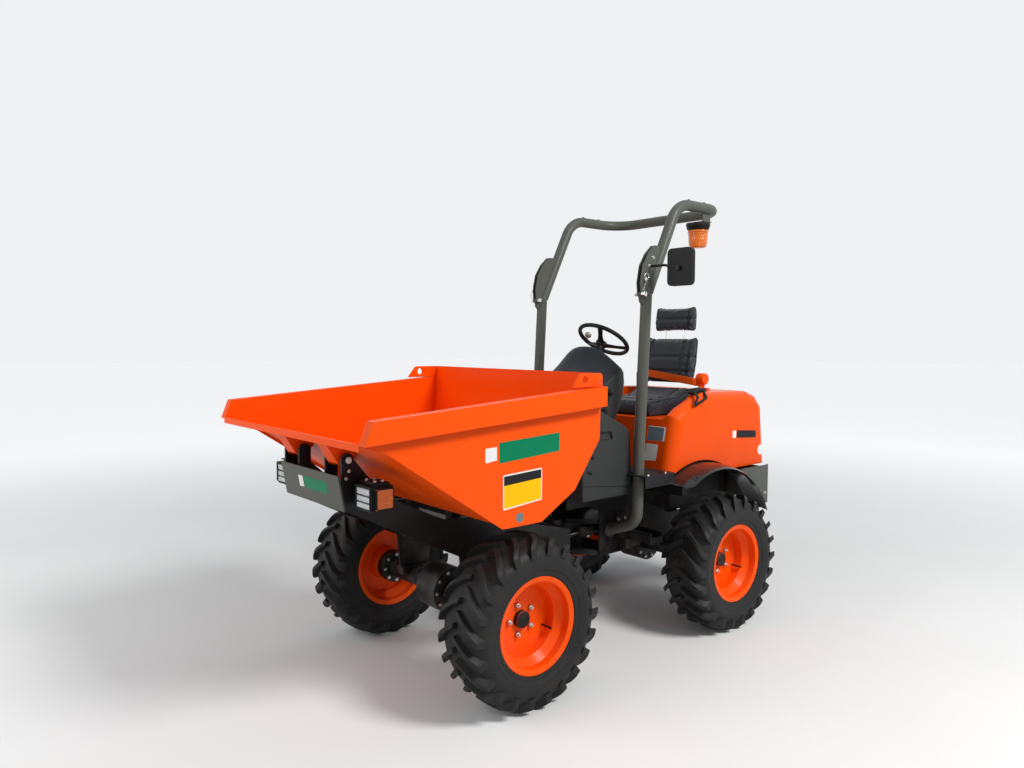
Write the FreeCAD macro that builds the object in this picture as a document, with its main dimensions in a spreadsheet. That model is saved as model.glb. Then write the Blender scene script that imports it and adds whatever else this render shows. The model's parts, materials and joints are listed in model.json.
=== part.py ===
"""Site dumper: a two-axle articulated dumper with a front-tipping skip, a seat on its hood and a
folding roll hoop.  Millimetres; +X is forward, +Y is the driver's left, +Z is up, and the floor is
z = 0.  The origin is on the floor, half way along the machine and on its centre line."""
import FreeCAD, Part
import math
import os
import re
import Sketcher
from types import SimpleNamespace
from FreeCAD import Placement, Rotation, Vector

# %% Driving dimensions
# Each row: name, size in mm or degrees, what it is.
SIZES = [
    ("wheelbase", 1472.5, "rear axle to front axle"),
    ("rear_axle_x", -812.5, "rear axle, from the middle of the machine"),
    ("tyre_r", 375, "tyre radius to the lug tips"),
    ("tyre_w", 268, "tyre width over the shoulders"),
    ("lug_high", 24, "lug height over the carcass"),
    ("lug_pairs", 22, "lug pairs round one tyre"),
    ("half_track", 586, "centre line to wheel centre plane"),
    ("rim_seat_r", 194.3, "bead seat radius"),
    ("rim_flange_r", 212.5, "rim flange radius"),
    ("rim_w", 228, "rim width over the flanges"),
    ("rim_wall", 6, "rim sheet"),
    ("rim_well_r", 163, "drop centre radius"),
    ("disc_in", 6, "wheel disc, inward of the wheel's centre plane"),
    ("disc_wall", 10, "wheel disc thickness"),
    ("hub_r", 88, "hub flange radius"),
    ("hub_long", 70, "hub length"),
    ("hub_cap_r", 38, "hub cap radius"),
    ("spindle_r", 28, "axle spindle radius"),
    ("run_gap", 0.05, "radial running clearance of shafts"),
    ("face_gap", 1, "gap beside a moving face"),
    ("seat_gap", 0.3, "gap between two seated pieces"),
    ("axle_r", 48, "axle tube radius"),
    ("axle_diff_r", 112, "differential housing radius"),
    ("axle_end_r", 82, "axle end housing radius"),
    ("pad_up", 56, "chassis foot over the axle line"),
    ("joint_up", 137, "middle of the centre joint over the axle line"),
    ("skip_gap", 320.75, "pivot to the skip's rear wall, outer face"),
    ("lip_ahead", 832.5, "front axle to the skip's lip"),
    ("skip_half_w", 660, "centre line to the skip's side plate, outer face"),
    ("skip_wall", 5, "skip sheet"),
    ("floor_up", 60, "lower edge of the skip's sides over the tyre tops"),
    ("rail_rear_up", 636, "top rail's rear end over the tyre tops"),
    ("lug_stand", 60, "lifting lug over the rail's rear end"),
    ("rail_out", 43, "top rail, outward of the side plate"),
    ("rail_high", 90, "top rail height"),
    ("plate_proud", 12, "side plate below the skip's floor sheet"),
    ("lug_hole_r", 18, "lifting lug hole radius"),
    ("tip_ahead", 669.5, "front axle to the skip's tipping axis"),
    ("tip_up", 353, "tipping axis over the tyre tops"),
    ("tip_pin_r", 14, "tipping pin radius"),
    ("ear_r", 28, "chassis ear radius round the pin"),
    ("foot_r", 32, "skip bracket radius round the pin"),
    ("beam_y", 262, "front chassis plate, inner face"),
    ("beam_wall", 12, "chassis plate thickness"),
    ("inner_ear_y", 120, "inner ear, inner face"),
    ("bracket_y", 155, "skip bracket, inner face"),
    ("bracket_w", 87, "skip bracket width"),
    ("front_plate_half_w", 274, "half width of the front plate"),
    ("plate_wall", 8, "front plate thickness"),
    ("fork_wall", 25, "fork plate thickness"),
    ("fork_open", 150, "opening between the fork plates"),
    ("joint_r", 60, "centre joint boss radius"),
    ("pivot_pin_r", 25, "articulation pin radius"),
    ("swivel_r", 45, "oscillation shaft radius"),
    ("swivel_tube_r", 72, "oscillation bearing tube, outer radius"),
    ("swivel_from", 130, "pivot to the bearing tube's rear face"),
    ("swivel_long", 140, "bearing tube length"),
    ("rear_plate_y", 200, "rear chassis plate, inner face"),
    ("tail_back", 666.2, "rear axle to the chassis plates' rear end"),
    ("floor_top", 135, "floor plate's upper face over the tyre tops"),
    ("floor_half_w", 500, "half width of the floor plate"),
    ("floor_wall", 6, "floor plate thickness"),
    ("guard_half_w", 500, "half width of the tail guard"),
    ("guard_wall", 6, "tail guard sheet"),
    ("fender_r", 533, "fender's inner edge, outer face, from the axle line"),
    ("fender_drop", 25, "fall of the fender towards its outer edge"),
    ("fender_y", 600, "fender's outer edge"),
    ("fender_wall", 5, "fender moulding thickness"),
    ("hoop_r", 30, "hoop tube radius"),
    ("hoop_y", 410, "centre line to hoop tube axis"),
    ("hoop_bend", 160, "hoop bend radius"),
    ("hinge_up", 1091, "hoop hinge over the tyre tops"),
    ("hoop_rise", 508, "hoop top over its hinge"),
    ("hoop_lean", 250, "hoop top's front corner behind the hinge tubes"),
    ("hoop_back", 674, "hoop rear bar behind the hinge tubes"),
    ("hinge_pin_r", 6, "hoop hinge pin radius"),
    ("hinge_eye_r", 14, "hoop hinge eye radius"),
    ("cheek_wall", 5, "hoop cheek plate thickness"),
    ("hood_half_w", 450, "hood, centre line to side"),
    ("hood_wall", 8, "hood moulding thickness"),
    ("hood_top_up", 552, "hood top over the tyre tops"),
    ("hood_foot_up", 88, "hood foot over the tyre tops"),
    ("arch_r", 541, "wheel arch radius in the hood"),
    ("seat_half_w", 240, "seat well half width, at its rear"),
    ("well_open", 132, "spread of the seat well towards the front"),
    ("mirror_w", 152, "mirror width"),
    ("mirror_high", 193, "mirror height"),
    ("deck_up", 405, "seat deck over the tyre tops"),
    ("hood_hinge_back", 652.5, "rear axle to the hood's hinge"),
    ("hood_hinge_up", 100, "hood hinge over the tyre tops"),
    ("console_half_w", 365, "console half width"),
    ("cowl_half_w", 250, "cowl half width"),
    ("cowl_crown_w", 120, "half width of the cowl's crown"),
    ("hand_r", 148, "steering wheel radius to the rim's axis"),
    ("hand_tube_r", 12, "steering wheel rim section radius"),
    ("wheel_tilt", 34, "steering wheel tilt from level"),
    ("tip_ram_r", 35, "tipping ram barrel radius"),
    ("steer_ram_r", 28, "steering ram barrel radius"),
    ("ram_pin_r", 12, "ram pin radius"),
]

doc = FreeCAD.newDocument("SiteDumper")
sheet = doc.addObject("Spreadsheet::Sheet", "Dims")
for row, (alias, value, note) in enumerate(SIZES, 1):
    sheet.set("A%d" % row, note)
    sheet.set("B%d" % row, str(value))
    sheet.setAlias("B%d" % row, alias)
doc.recompute()
d = SimpleNamespace(**{alias: float(sheet.get(alias)) for alias, value, note in SIZES})

# The places that everything is measured from: along the machine, then up.
rear, mid = d.rear_axle_x, d.rear_axle_x + d.wheelbase / 2
front = d.rear_axle_x + d.wheelbase
axle, joint, top = d.tyre_r, d.tyre_r + d.joint_up, 2 * d.tyre_r
PLACES = {"rear": "rear_axle_x", "mid": "(rear_axle_x + wheelbase / 2)", "front": "(rear_axle_x + wheelbase)",
          "axle": "tyre_r", "joint": "(tyre_r + joint_up)", "top": "(2 * tyre_r)"}

X, Y, Z = Vector(1, 0, 0), Vector(0, 1, 0), Vector(0, 0, 1)
TURN = {"x": Rotation(Y, 90), "y": Rotation(X, -90), "z": Rotation()}
NODES = []


# %% Helpers
def cells(text):
    """An expression for the document: places are spelled out and sizes get the sheet's name."""
    spelled = re.sub(r"[a-z][a-z_]*", lambda word: PLACES.get(word.group(), word.group()), str(text))
    return re.sub(r"[a-z][a-z_]*", lambda word: "Dims." + word.group(), spelled)


def bind(thing, **terms):
    """Tie properties to sizes: bind(box, Length="tyre_w")."""
    for prop, text in terms.items():
        thing.setExpression(prop, cells(text))


def put(thing, x, y, z):
    """Tie a placement's position to sizes."""
    for axis_name, text in zip("xyz", (x, y, z)):
        thing.setExpression(".Placement.Base." + axis_name, cells(text))
    return thing


def box(name, x, y, z, long, wide, high):
    """A box from its low corner and its three sizes."""
    thing = doc.addObject("Part::Box", name)
    bind(thing, Length=long, Width=wide, Height=high)
    return put(thing, x, y, z)


def rod(name, way, x, y, z, radius, long):
    """A cylinder along an axis, from the middle of its first face."""
    thing = doc.addObject("Part::Cylinder", name)
    thing.Placement = Placement(Vector(), TURN[way])
    bind(thing, Radius=radius, Height=long)
    return put(thing, x, y, z)


def plane(body, role):
    return next(item for item in body.Origin.OriginFeatures if item.Role == role)


def outline(body, role, points):
    """A closed sketch of straight lines whose corners follow the sizes."""
    sketch = body.newObject("Sketcher::SketchObject", body.Name + "Outline")
    sketch.AttachmentSupport = [(plane(body, role), "")]
    sketch.MapMode = "FlatFace"
    count = len(points)
    for i in range(count):
        turn = 2 * math.pi * i / count
        after = 2 * math.pi * (i + 1) / count
        sketch.addGeometry(Part.LineSegment(Vector(math.cos(turn), math.sin(turn), 0) * 100,
                                            Vector(math.cos(after), math.sin(after), 0) * 100))
    for i in range(count):
        sketch.addConstraint(Sketcher.Constraint("Coincident", i, 2, (i + 1) % count, 1))
    for i, corner in enumerate(points):
        for way, text in zip(("DistanceX", "DistanceY"), corner):
            index = sketch.addConstraint(Sketcher.Constraint(way, -1, 1, i, 1, 100.0))
            sketch.setExpression("Constraints[%d]" % index, cells(text))
    return sketch


def plate(name, points, y, wall):
    """A plate that stands fore and aft: its outline in X and Z, from y to y + wall."""
    body = doc.addObject("PartDesign::Body", name)
    sketch = outline(body, "XZ_Plane", points)
    pad = body.newObject("PartDesign::Pad", name + "Pad")
    pad.Profile = sketch
    bind(pad, Length=wall)
    body.Tip = pad
    return put(body, 0, "%s + %s" % (y, wall), 0)


def sheet_plate(name, points, z, wall):
    """A plate that lies flat: its outline in X and Y, from z to z + wall."""
    body = doc.addObject("PartDesign::Body", name)
    sketch = outline(body, "XY_Plane", points)
    pad = body.newObject("PartDesign::Pad", name + "Pad")
    pad.Profile = sketch
    bind(pad, Length=wall)
    body.Tip = pad
    return put(body, 0, 0, z)


def fuse(name, pieces):
    thing = doc.addObject("Part::MultiFuse", name)
    thing.Shapes = pieces
    return thing


def common(name, pieces):
    thing = doc.addObject("Part::MultiCommon", name)
    thing.Shapes = pieces
    return thing


def cut(name, base, tool):
    thing = doc.addObject("Part::Cut", name)
    thing.Base, thing.Tool = base, tool
    return thing


def mirrored(name, piece):
    """The same piece on the machine's other side."""
    thing = doc.addObject("Part::Mirroring", name)
    thing.Source = piece
    thing.Normal = Y
    return thing


def pair(name, piece):
    """A piece and its mirror image as one sub-part."""
    return fuse(name, [piece, mirrored(name + "Right", piece)])


def node(name, thing):
    """Name a finished sub-part: its label names its file."""
    thing.Label = name
    NODES.append(thing)
    return thing


def shape_node(name, shape):
    """A sub-part whose shape comes from Part's own functions."""
    thing = doc.addObject("Part::Feature", name)
    thing.Shape = shape
    return node(name, thing)


def moved(points, x, z):
    """Points (x, z) measured from a place."""
    return [(x + dx, z + dz) for dx, dz in points]


def slab(points, low_y, high_y):
    """A plate through points (x, z), from low_y to high_y."""
    corners = [Vector(x, low_y, z) for x, z in points]
    return Part.Face(Part.makePolygon(corners + corners[:1])).extrude(Y * (high_y - low_y))


def beside(line, reach):
    """The same open line (x, z), moved sideways to its left by reach."""
    shifted = []
    for i, (x, z) in enumerate(line):
        before, after = line[max(i - 1, 0)], line[min(i + 1, len(line) - 1)]
        first, last = Vector(x - before[0], 0, z - before[1]), Vector(after[0] - x, 0, after[1] - z)
        ways = [Vector(-way.z, 0, way.x).normalize() for way in (first, last) if way.Length > 0]
        n = (ways[0] + ways[-1]).normalize()
        shifted.append((x + n.x * reach / n.dot(ways[0]), z + n.z * reach / n.dot(ways[0])))
    return shifted


def bent_tube(points, bend, radius):
    """A round bar along straight runs, each inner corner turned with the radius `bend`."""
    pieces, start = [], points[0]
    for before, corner, after in zip(points, points[1:], points[2:]):
        back, on = (before - corner).normalize(), (after - corner).normalize()
        half = back.getAngle(on) / 2
        reach = bend / math.tan(half)
        centre = corner + (back + on).normalize() * (bend / math.sin(half))
        entry = corner + back * reach
        pieces.append(Part.makeCylinder(radius, (entry - start).Length, start, entry - start))
        ring = Part.Face(Part.Wire(Part.makeCircle(radius, entry, back)))
        pieces.append(ring.revolve(centre, on.cross(back), 180 - 2 * math.degrees(half)))
        start = corner + on * reach
    pieces.append(Part.makeCylinder(radius, (points[-1] - start).Length, start, points[-1] - start))
    return pieces[0].multiFuse(pieces[1:])


# %% Wheels
# Each row: offset from the centre plane as a share of half the width, fall of the carcass and of
# the lug's top below their highest radius, and how far the lug has turned, as a share of a pitch.
LUG_ROWS = [(0.05, 0, 2, 0.0), (0.68, 4, 1, 0.52), (1.0, 51, 24, 0.98)]
LUG_TOP_SHARE, LUG_FOOT_SHARE = 0.125, 0.17


def tyre_shape():
    """The tyre as one shell of flat faces: every pitch has a left and a right lug."""
    half, crown, count = d.tyre_w / 2, d.tyre_r - d.lug_high, int(d.lug_pairs)
    pitch = 2 * math.pi / count
    seat_r = (d.rim_seat_r + d.seat_gap) / math.cos(pitch / 4)
    spots, facets = {}, []

    def spot(side, offset, radius, turn):
        key = (round(side * offset, 3), round(radius, 3), round(turn * 4000) % (4000 * count))
        angle = turn * pitch
        return spots.setdefault(key, (len(spots), Vector(radius * math.cos(angle), side * offset,
                                                         radius * math.sin(angle))))[0]

    def quad(a, b, c, e):
        facets.append((a, b, c))
        facets.append((a, c, e))

    for number in range(count):
        for side, start in ((1, number), (-1, number + 0.5)):
            rows = []
            for share, fall, top_fall, turn in LUG_ROWS:
                y, at = half * share, start + turn
                rows.append([spot(side, y, crown - fall, at - LUG_FOOT_SHARE),
                             spot(side, y, d.tyre_r - top_fall, at - LUG_TOP_SHARE),
                             spot(side, y, d.tyre_r - top_fall, at + LUG_TOP_SHARE),
                             spot(side, y, crown - fall, at + LUG_FOOT_SHARE),
                             spot(side, y, crown - fall, at + 1 - LUG_FOOT_SHARE)])
            for low, high in zip(rows, rows[1:]):
                for i in range(4):
                    quad(low[i], low[i + 1], high[i + 1], high[i])
            for row in (rows[0], rows[-1]):
                quad(*row[:4])
            at = start + LUG_ROWS[-1][3]
            belly = [spot(side, half, crown - 93, at + step) for step in (-0.25, 0.25, 0.75)]
            bead = [spot(side, half - 38, seat_r, at + step) for step in (-0.25, 0.25, 0.75)]
            shoulder = [rows[-1][0], rows[-1][3], rows[-1][4]]
            for upper, lower in ((shoulder, belly), (belly, bead)):
                quad(upper[0], upper[1], lower[1], lower[0])
                quad(upper[1], upper[2], lower[2], lower[1])
        # The strip between the lugs' inner ends, and the seat on the rim.
        y = half * LUG_ROWS[0][0]
        left = [spot(1, y, crown, number + step) for step in
                (-LUG_FOOT_SHARE, LUG_FOOT_SHARE, 1 - LUG_FOOT_SHARE)]
        right = [spot(-1, y, crown, number + step) for step in
                 (LUG_FOOT_SHARE - 0.5, 0.5 - LUG_FOOT_SHARE, 0.5 + LUG_FOOT_SHARE)]
        facets += [(left[0], left[1], right[0]), (right[0], right[1], left[1]),
                   (right[1], right[2], left[1]), (left[1], left[2], right[2])]
        for step in (-0.25, 0.25):
            at = number + LUG_ROWS[-1][3] + step
            quad(spot(1, half - 38, seat_r, at), spot(1, half - 38, seat_r, at + 0.5),
                 spot(-1, half - 38, seat_r, at + 0.5), spot(-1, half - 38, seat_r, at))
    points = [point for index, point in sorted(spots.values(), key=lambda item: item[0])]
    skin = Part.Shape()
    skin.makeShapeFromMesh((points, facets), 0.01)
    solid = Part.makeSolid(skin)
    return solid if solid.Volume > 0 else solid.reversed()


def rim_body(name, side):
    """Rim, disc and hub as one revolved weldment; the spindle's bore is open inward."""
    half, wall = "rim_w / 2", "rim_wall"
    points = [
        ("spindle_r + run_gap", "-disc_in - disc_wall - hub_long"),
        ("hub_r", "-disc_in - disc_wall - hub_long"),
        ("hub_r", "-disc_in - disc_wall"),
        ("rim_well_r - rim_wall", "-disc_in - disc_wall"),
        ("rim_well_r - rim_wall", "-%s * 0.36" % half),
        ("rim_seat_r - rim_wall", "-%s * 0.62" % half),
        ("rim_seat_r - rim_wall", "-%s + %s" % (half, wall)),
        ("rim_flange_r - rim_wall", "-%s" % half),
        ("rim_flange_r", "-%s" % half),
        ("rim_flange_r", "-%s + %s" % (half, wall)),
        ("rim_seat_r", "-%s + %s + 1" % (half, wall)),
        ("rim_seat_r", "-%s * 0.58" % half),
        ("rim_well_r", "-%s * 0.32" % half),
        ("rim_well_r", "%s * 0.32" % half),
        ("rim_seat_r", "%s * 0.58" % half),
        ("rim_seat_r", "%s - %s - 1" % (half, wall)),
        ("rim_flange_r", "%s - %s" % (half, wall)),
        ("rim_flange_r", half),
        ("rim_flange_r - rim_wall", half),
        ("rim_seat_r - rim_wall", "%s - %s" % (half, wall)),
        ("rim_seat_r - rim_wall", "%s * 0.62" % half),
        ("rim_well_r - rim_wall", "%s * 0.36" % half),
        ("rim_well_r - rim_wall", "-disc_in"),
        ("hub_cap_r", "-disc_in"),
        ("hub_cap_r", "-disc_in + 22"),
        ("0", "-disc_in + 22"),
        ("0", "-disc_in - disc_wall"),
        ("spindle_r + run_gap", "-disc_in - disc_wall"),
    ]
    body = doc.addObject("PartDesign::Body", name)
    sketch = outline(body, "XY_Plane", points)
    turn = body.newObject("PartDesign::Revolution", name + "Turn")
    turn.Profile = sketch
    turn.ReferenceAxis = (sketch, ["V_Axis"])
    turn.Angle = 360
    body.Tip = turn
    body.Placement = Placement(Vector(), Rotation(Z, 0 if side > 0 else 180))
    return body


tyre = tyre_shape()
for end in ("rear", "front"):
    for hand, side in (("left", 1), ("right", -1)):
        name = "wheel_%s_%s" % (end, hand)
        rim = node(name + "_rim", rim_body("Rim" + end + hand, side))
        put(rim, end, "half_track * %d" % side, "axle")
        ring = shape_node(name + "_tyre", tyre)
        put(ring, end, "half_track * %d" % side, "axle")


def axle_tree(name, place, pad_y):
    """Axle tube, differential and end housings, a spindle into each hub and two chassis feet."""
    housing_end = "(half_track - disc_in - disc_wall - hub_long - face_gap)"
    spindle_end = "(half_track - disc_in - disc_wall - face_gap)"
    pieces = [
        rod(name + "Tube", "y", place, "-" + housing_end, "axle", "axle_r", "2 * " + housing_end),
        rod(name + "Diff", "y", place, "-axle_r * 1.6", "axle", "axle_diff_r", "axle_r * 3.2"),
        rod(name + "Nose", "x", place + " - axle_diff_r - 40", 0, "axle", "axle_r * 1.3", "axle_diff_r + 60"),
        rod(name + "Spindles", "y", place, "-" + spindle_end, "axle", "spindle_r", "2 * " + spindle_end),
    ]
    for hand, low in (("Left", housing_end + " - 60"), ("Right", "-" + housing_end)):
        pieces.append(rod(name + "End" + hand, "y", place, low, "axle", "axle_end_r", "60"))
    foot = box(name + "Foot", place + " - 85", pad_y + " - 26", "axle + 20", "170", "beam_wall + 52",
               "pad_up - 20 - seat_gap")
    return fuse(name, pieces + [foot, mirrored(name + "FootRight", foot)])


node("rear_axle", axle_tree("RearAxle", "rear", "rear_plate_y"))
node("front_axle", axle_tree("FrontAxle", "front", "beam_y"))

# %% Skip
skip_rear, lip_x, lip_z = mid + d.skip_gap, front + d.lip_ahead, top + 463
rail_rear_z, wall_top_z = top + d.rail_rear_up, top + d.rail_rear_up + d.lug_stand
rail_front_x, rail_front_z = lip_x - 34, top + 552
floor_z = top + d.floor_up
fold_x, fold_z = lip_x - 118, lip_z - 41
# The side plates' edge, from the rear wall's top round to the lip.
EDGE = [(skip_rear, wall_top_z), (skip_rear, floor_z + 462), (skip_rear + 4, floor_z + 332),
        (skip_rear + 162, floor_z + 115), (skip_rear + 364, floor_z), (front + 166.5, floor_z),
        (fold_x, fold_z), (lip_x, lip_z)]


def slope_z(x):
    """Height of the sheet's underside on the floor's rising front part."""
    (low_x, low_z), (high_x, high_z) = UNDER[5:7]
    return low_z + (x - low_x) * (high_z - low_z) / (high_x - low_x)


# The bent sheet lies inside that edge, and meets it at the rear wall's top and at the lip.
UNDER = ([EDGE[0], (skip_rear, rail_rear_z - d.rail_high + 10)] + beside(EDGE, d.plate_proud)[2:-1]
         + [EDGE[-1]])


def skip_shape():
    """One bent sheet from rear wall to lip between two side plates, with a rail outside each."""
    t, w, out = d.skip_wall, d.skip_half_w, d.skip_half_w + d.rail_out
    above = [(rail_front_x, rail_front_z), (skip_rear + 30, rail_rear_z), (skip_rear + 30, wall_top_z)]
    inner = beside(UNDER, t)
    room = [(lip_x + 400, inner[-1][1]), (lip_x + 400, wall_top_z + 200), (inner[0][0], wall_top_z + 200)]
    shell = slab(UNDER + above, -w, w).cut(slab(inner + room, t - w, w - t))
    flange = slab([(lip_x - t, lip_z + t), (lip_x, lip_z + t), (lip_x, lip_z - 22), (lip_x - t, lip_z - 22)],
                  -w, w)
    # Each side plate stands proud below the sheet.
    proud = EDGE[1:] + UNDER[1:-1][::-1]
    band = [(skip_rear, rail_rear_z), (rail_front_x, rail_front_z), (lip_x, lip_z),
            (skip_rear, rail_rear_z - d.rail_high)]
    strip = [(skip_rear, rail_rear_z), (rail_front_x, rail_front_z), (rail_front_x, rail_front_z - t),
             (skip_rear, rail_rear_z - t)]
    end = [(skip_rear, rail_rear_z), (skip_rear + t, rail_rear_z), (skip_rear + t, rail_rear_z - d.rail_high),
           (skip_rear, rail_rear_z - d.rail_high)]
    nose = [(rail_front_x, rail_front_z), (rail_front_x - t, rail_front_z), (lip_x - t, lip_z), (lip_x, lip_z)]
    side = [slab(proud, w - t, w), slab(band, out - t, out), slab(strip, w - t, out), slab(end, w - t, out),
            slab(nose, w - t, out)]
    side += [piece.mirror(Vector(), Y) for piece in side]
    return shell.multiFuse([flange] + side).removeSplitter()


shape_node("skip_shell", skip_shape())

LUG_OUTLINE = [("mid + skip_gap", "top + rail_rear_up + seat_gap"),
               ("mid + skip_gap", "top + rail_rear_up + lug_stand"),
               ("mid + skip_gap + 142", "top + rail_rear_up + lug_stand"),
               ("mid + skip_gap + 190", "top + rail_rear_up + seat_gap")]
lug = plate("LugPlate", LUG_OUTLINE, "skip_half_w", "12")
lug_hole = rod("LugHole", "y", "mid + skip_gap + 113", "skip_half_w - 50", "top + rail_rear_up + lug_stand - 29",
               "lug_hole_r", "100")
node("skip_lugs", pair("SkipLugs", cut("LugLeft", lug, lug_hole)))

# %% Skip brackets
tip_x, tip_z = front + d.tip_ahead, top + d.tip_up


def tangent(x, z, radius, hand):
    """Where the line from (x, z) touches a circle round the origin, on one side or the other."""
    turn = math.atan2(z, x) + hand * math.acos(radius / math.hypot(x, z))
    return radius * math.cos(turn), radius * math.sin(turn)


def bracket_shapes():
    """Two folded brackets on the tipping pins, and two lugs with the ends of the ram's pin."""
    g, r = d.seat_gap * 1.3, d.foot_r
    bend_x, bend_z = UNDER[-2]
    lip_slope = (lip_z - bend_z) / (lip_x - bend_x)
    head = (96.5, bend_z + (tip_x + 96.5 - bend_x) * lip_slope - g - tip_z)
    heel = (-60, slope_z(tip_x - 60) - g - tip_z)
    toe, back = tangent(head[0], head[1], r, -1), tangent(heel[0], heel[1], r, 1)
    web_head = (head[0] - 6, head[1] - 6 * lip_slope)
    web_toe = (toe[0] - 4.2, toe[1] + 2.8)
    outline_points = moved([head, (bend_x - tip_x, bend_z - g - tip_z), heel, back, toe], tip_x, tip_z)
    low, high = d.bracket_y, d.bracket_y + d.bracket_w
    cheeks = []
    for y in (low, high - d.skip_wall):
        disc = Part.makeCylinder(r, d.skip_wall, Vector(tip_x, y, tip_z), Y)
        cheeks.append(slab(outline_points, y, y + d.skip_wall).fuse(disc))
    web = slab(moved([head, toe, web_toe, web_head], tip_x, tip_z), low, high)
    bore = Part.makeCylinder(d.tip_pin_r + d.run_gap, 400, Vector(tip_x, 0, tip_z), Y)
    bracket = cheeks[0].multiFuse([cheeks[1], web]).cut(bore)
    lug_points = [(tip_eye.x - 54, slope_z(tip_eye.x - 54) - g), (tip_eye.x + 46, slope_z(tip_eye.x + 46) - g),
                  (tip_eye.x + 23, tip_eye.z), (tip_eye.x - 23, tip_eye.z)]
    disc = Part.makeCylinder(24, 10, tip_eye + Y * 18, Y)
    pin_end = Part.makeCylinder(d.ram_pin_r, 16, tip_eye + Y * 18, Y)
    lug = slab(lug_points, 18, 28).multiFuse([disc, pin_end])
    return Part.makeCompound([bracket, bracket.mirror(Vector(), Y), lug, lug.mirror(Vector(), Y)])


# %% Front frame
tip_foot, tip_eye = Vector(front + 180, 0, top - 85), Vector(front + 559, 0, top + 252)
shape_node("skip_ears", bracket_shapes())

# The plate's outline, from the ear's front down the front edge, back over the axle and up again.
BEAM_OUTLINE = [
    ("front + tip_ahead + ear_r", "top + tip_up"), ("front + tip_ahead + ear_r", "top + 238"),
    ("front + 679.7", "top + 142"), ("front + 256", "top - 73"), ("front + 100", "top - 150"),
    ("front + 85", "axle + pad_up"), ("front - 85", "axle + pad_up"), ("front - 100", "axle + pad_up + 90"),
    ("mid + 330", "joint - 82"), ("mid + swivel_from", "joint - 82"), ("mid + swivel_from", "joint + 108"),
    ("mid + 400", "top - 60"), ("front - 60", "top + 25"), ("front + 180", "top + 35"),
    ("front + 249", "top + 64"), ("front + 449", "top + 162"), ("front + 580", "top + 280"),
    ("front + tip_ahead - ear_r", "top + tip_up"),
]
beam = plate("BeamPlate", BEAM_OUTLINE, "beam_y", "beam_wall")
ear = rod("BeamEar", "y", "front + tip_ahead", "beam_y", "top + tip_up", "ear_r", "beam_wall")
INNER_EAR = [("front + tip_ahead - ear_r", "top + 200"), ("front + 690", "top + 200"),
             ("front + tip_ahead + ear_r", "top + 238"), ("front + tip_ahead + ear_r", "top + tip_up"),
             ("front + tip_ahead - ear_r", "top + tip_up")]
inner_ear = plate("InnerEar", INNER_EAR, "inner_ear_y", "beam_wall")
inner_top = rod("InnerEarTop", "y", "front + tip_ahead", "inner_ear_y", "top + tip_up", "ear_r", "beam_wall")
FOOT_LUG = [("front + 80", "top - 60"), ("front + 80", "top"), ("front + 150", "top - 20"),
            ("front + 206", "top - 70"), ("front + 206", "top - 85"), ("front + 154", "top - 85")]
foot_lug = plate("FootLug", FOOT_LUG, "18", "10")
foot_eye = rod("FootLugEye", "y", "front + 180", "18", "top - 85", "26", "10")
lamp_arm = box("LampArm", "front + 565", "beam_y + 4", "top + 182", "70", "54 - seat_gap", "12")
rest = box("SkipRest", "front + 45", "beam_y - 112", "top - 1", "50", "50", "floor_up + plate_proud + 1 - seat_gap")
one_side = [beam, ear, inner_ear, inner_top, foot_lug, foot_eye, lamp_arm, rest]
pieces = one_side + [mirrored(piece.Name + "Right", piece) for piece in one_side]
pieces += [
    box("CrossRear", "mid + swivel_from", "-beam_y", "joint - 82", "20", "2 * beam_y", "190"),
    box("CrossMiddle", "front + 40", "-beam_y", "top - 60", "60", "2 * beam_y", "60"),
    box("CrossFront", "front + 615", "-beam_y", "top + 150", "62", "2 * beam_y", "60"),
    rod("SwivelTube", "x", "mid + swivel_from", "0", "joint", "swivel_tube_r", "swivel_long"),
    rod("FootPin", "y", "front + 180", "-34", "top - 85", "ram_pin_r", "68"),
]
bores = [
    rod("SwivelBore", "x", "mid + swivel_from - 20", "0", "joint", "swivel_r + run_gap", "swivel_long + 60"),
    rod("EarBore", "y", "front + tip_ahead", "-400", "top + tip_up", "tip_pin_r + run_gap", "800"),
]
node("front_chassis", cut("FrontChassis", fuse("FrontWeldment", pieces), fuse("FrontBores", bores)))
tip_pin = rod("TipPin", "y", "front + tip_ahead", "inner_ear_y - 4", "top + tip_up", "tip_pin_r",
              "beam_y + beam_wall - inner_ear_y + 12")
tip_head = rod("TipPinHead", "y", "front + tip_ahead", "beam_y + beam_wall + seat_gap", "top + tip_up",
               "tip_pin_r + 6", "8 - seat_gap")
node("tip_pins", pair("TipPins", fuse("TipPinLeft", [tip_pin, tip_head])))
FRONT_PLATE = [("front + 680", "top + 140"), ("front + 680 + plate_wall", "top + 140"),
               ("front + 707 + plate_wall", "top + 290"), ("front + 707", "top + 290")]
node("front_plate", plate("FrontPlate", FRONT_PLATE, "-front_plate_half_w", "2 * front_plate_half_w"))

# Each lamp: a housing on the chassis arm, three lens bars in front and an indicator outside.
lamp_y = "beam_y + 58"
lamp = fuse("LampHousing", [
    box("LampBody", "front + 560", lamp_y, "top + 162", "91", "125", "100"),
    box("LampHood", "front + 650", lamp_y, "top + 254", "14", "125", "8"),
    box("LampTop", "front + 570", lamp_y + " + 8", "top + 261", "60", "109", "12"),
])
node("front_lamps", pair("FrontLamps", lamp))
bars = [box("LensBack", "front + 651 + seat_gap", lamp_y + " + 10", "top + 170", "3", "105", "82")]
for number in range(3):
    bars.append(box("LensBar%d" % number, "front + 653", lamp_y + " + 12", "top + %d" % (172 + 27 * number),
                    "8", "101", "24"))
node("lamp_lenses", pair("LampLenses", fuse("LensLeft", bars)))
node("indicator_lenses", pair("IndicatorLenses", box("Indicator", "front + 562", lamp_y + " + 125 + seat_gap",
                                                     "top + 168", "80", "9", "86")))

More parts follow.
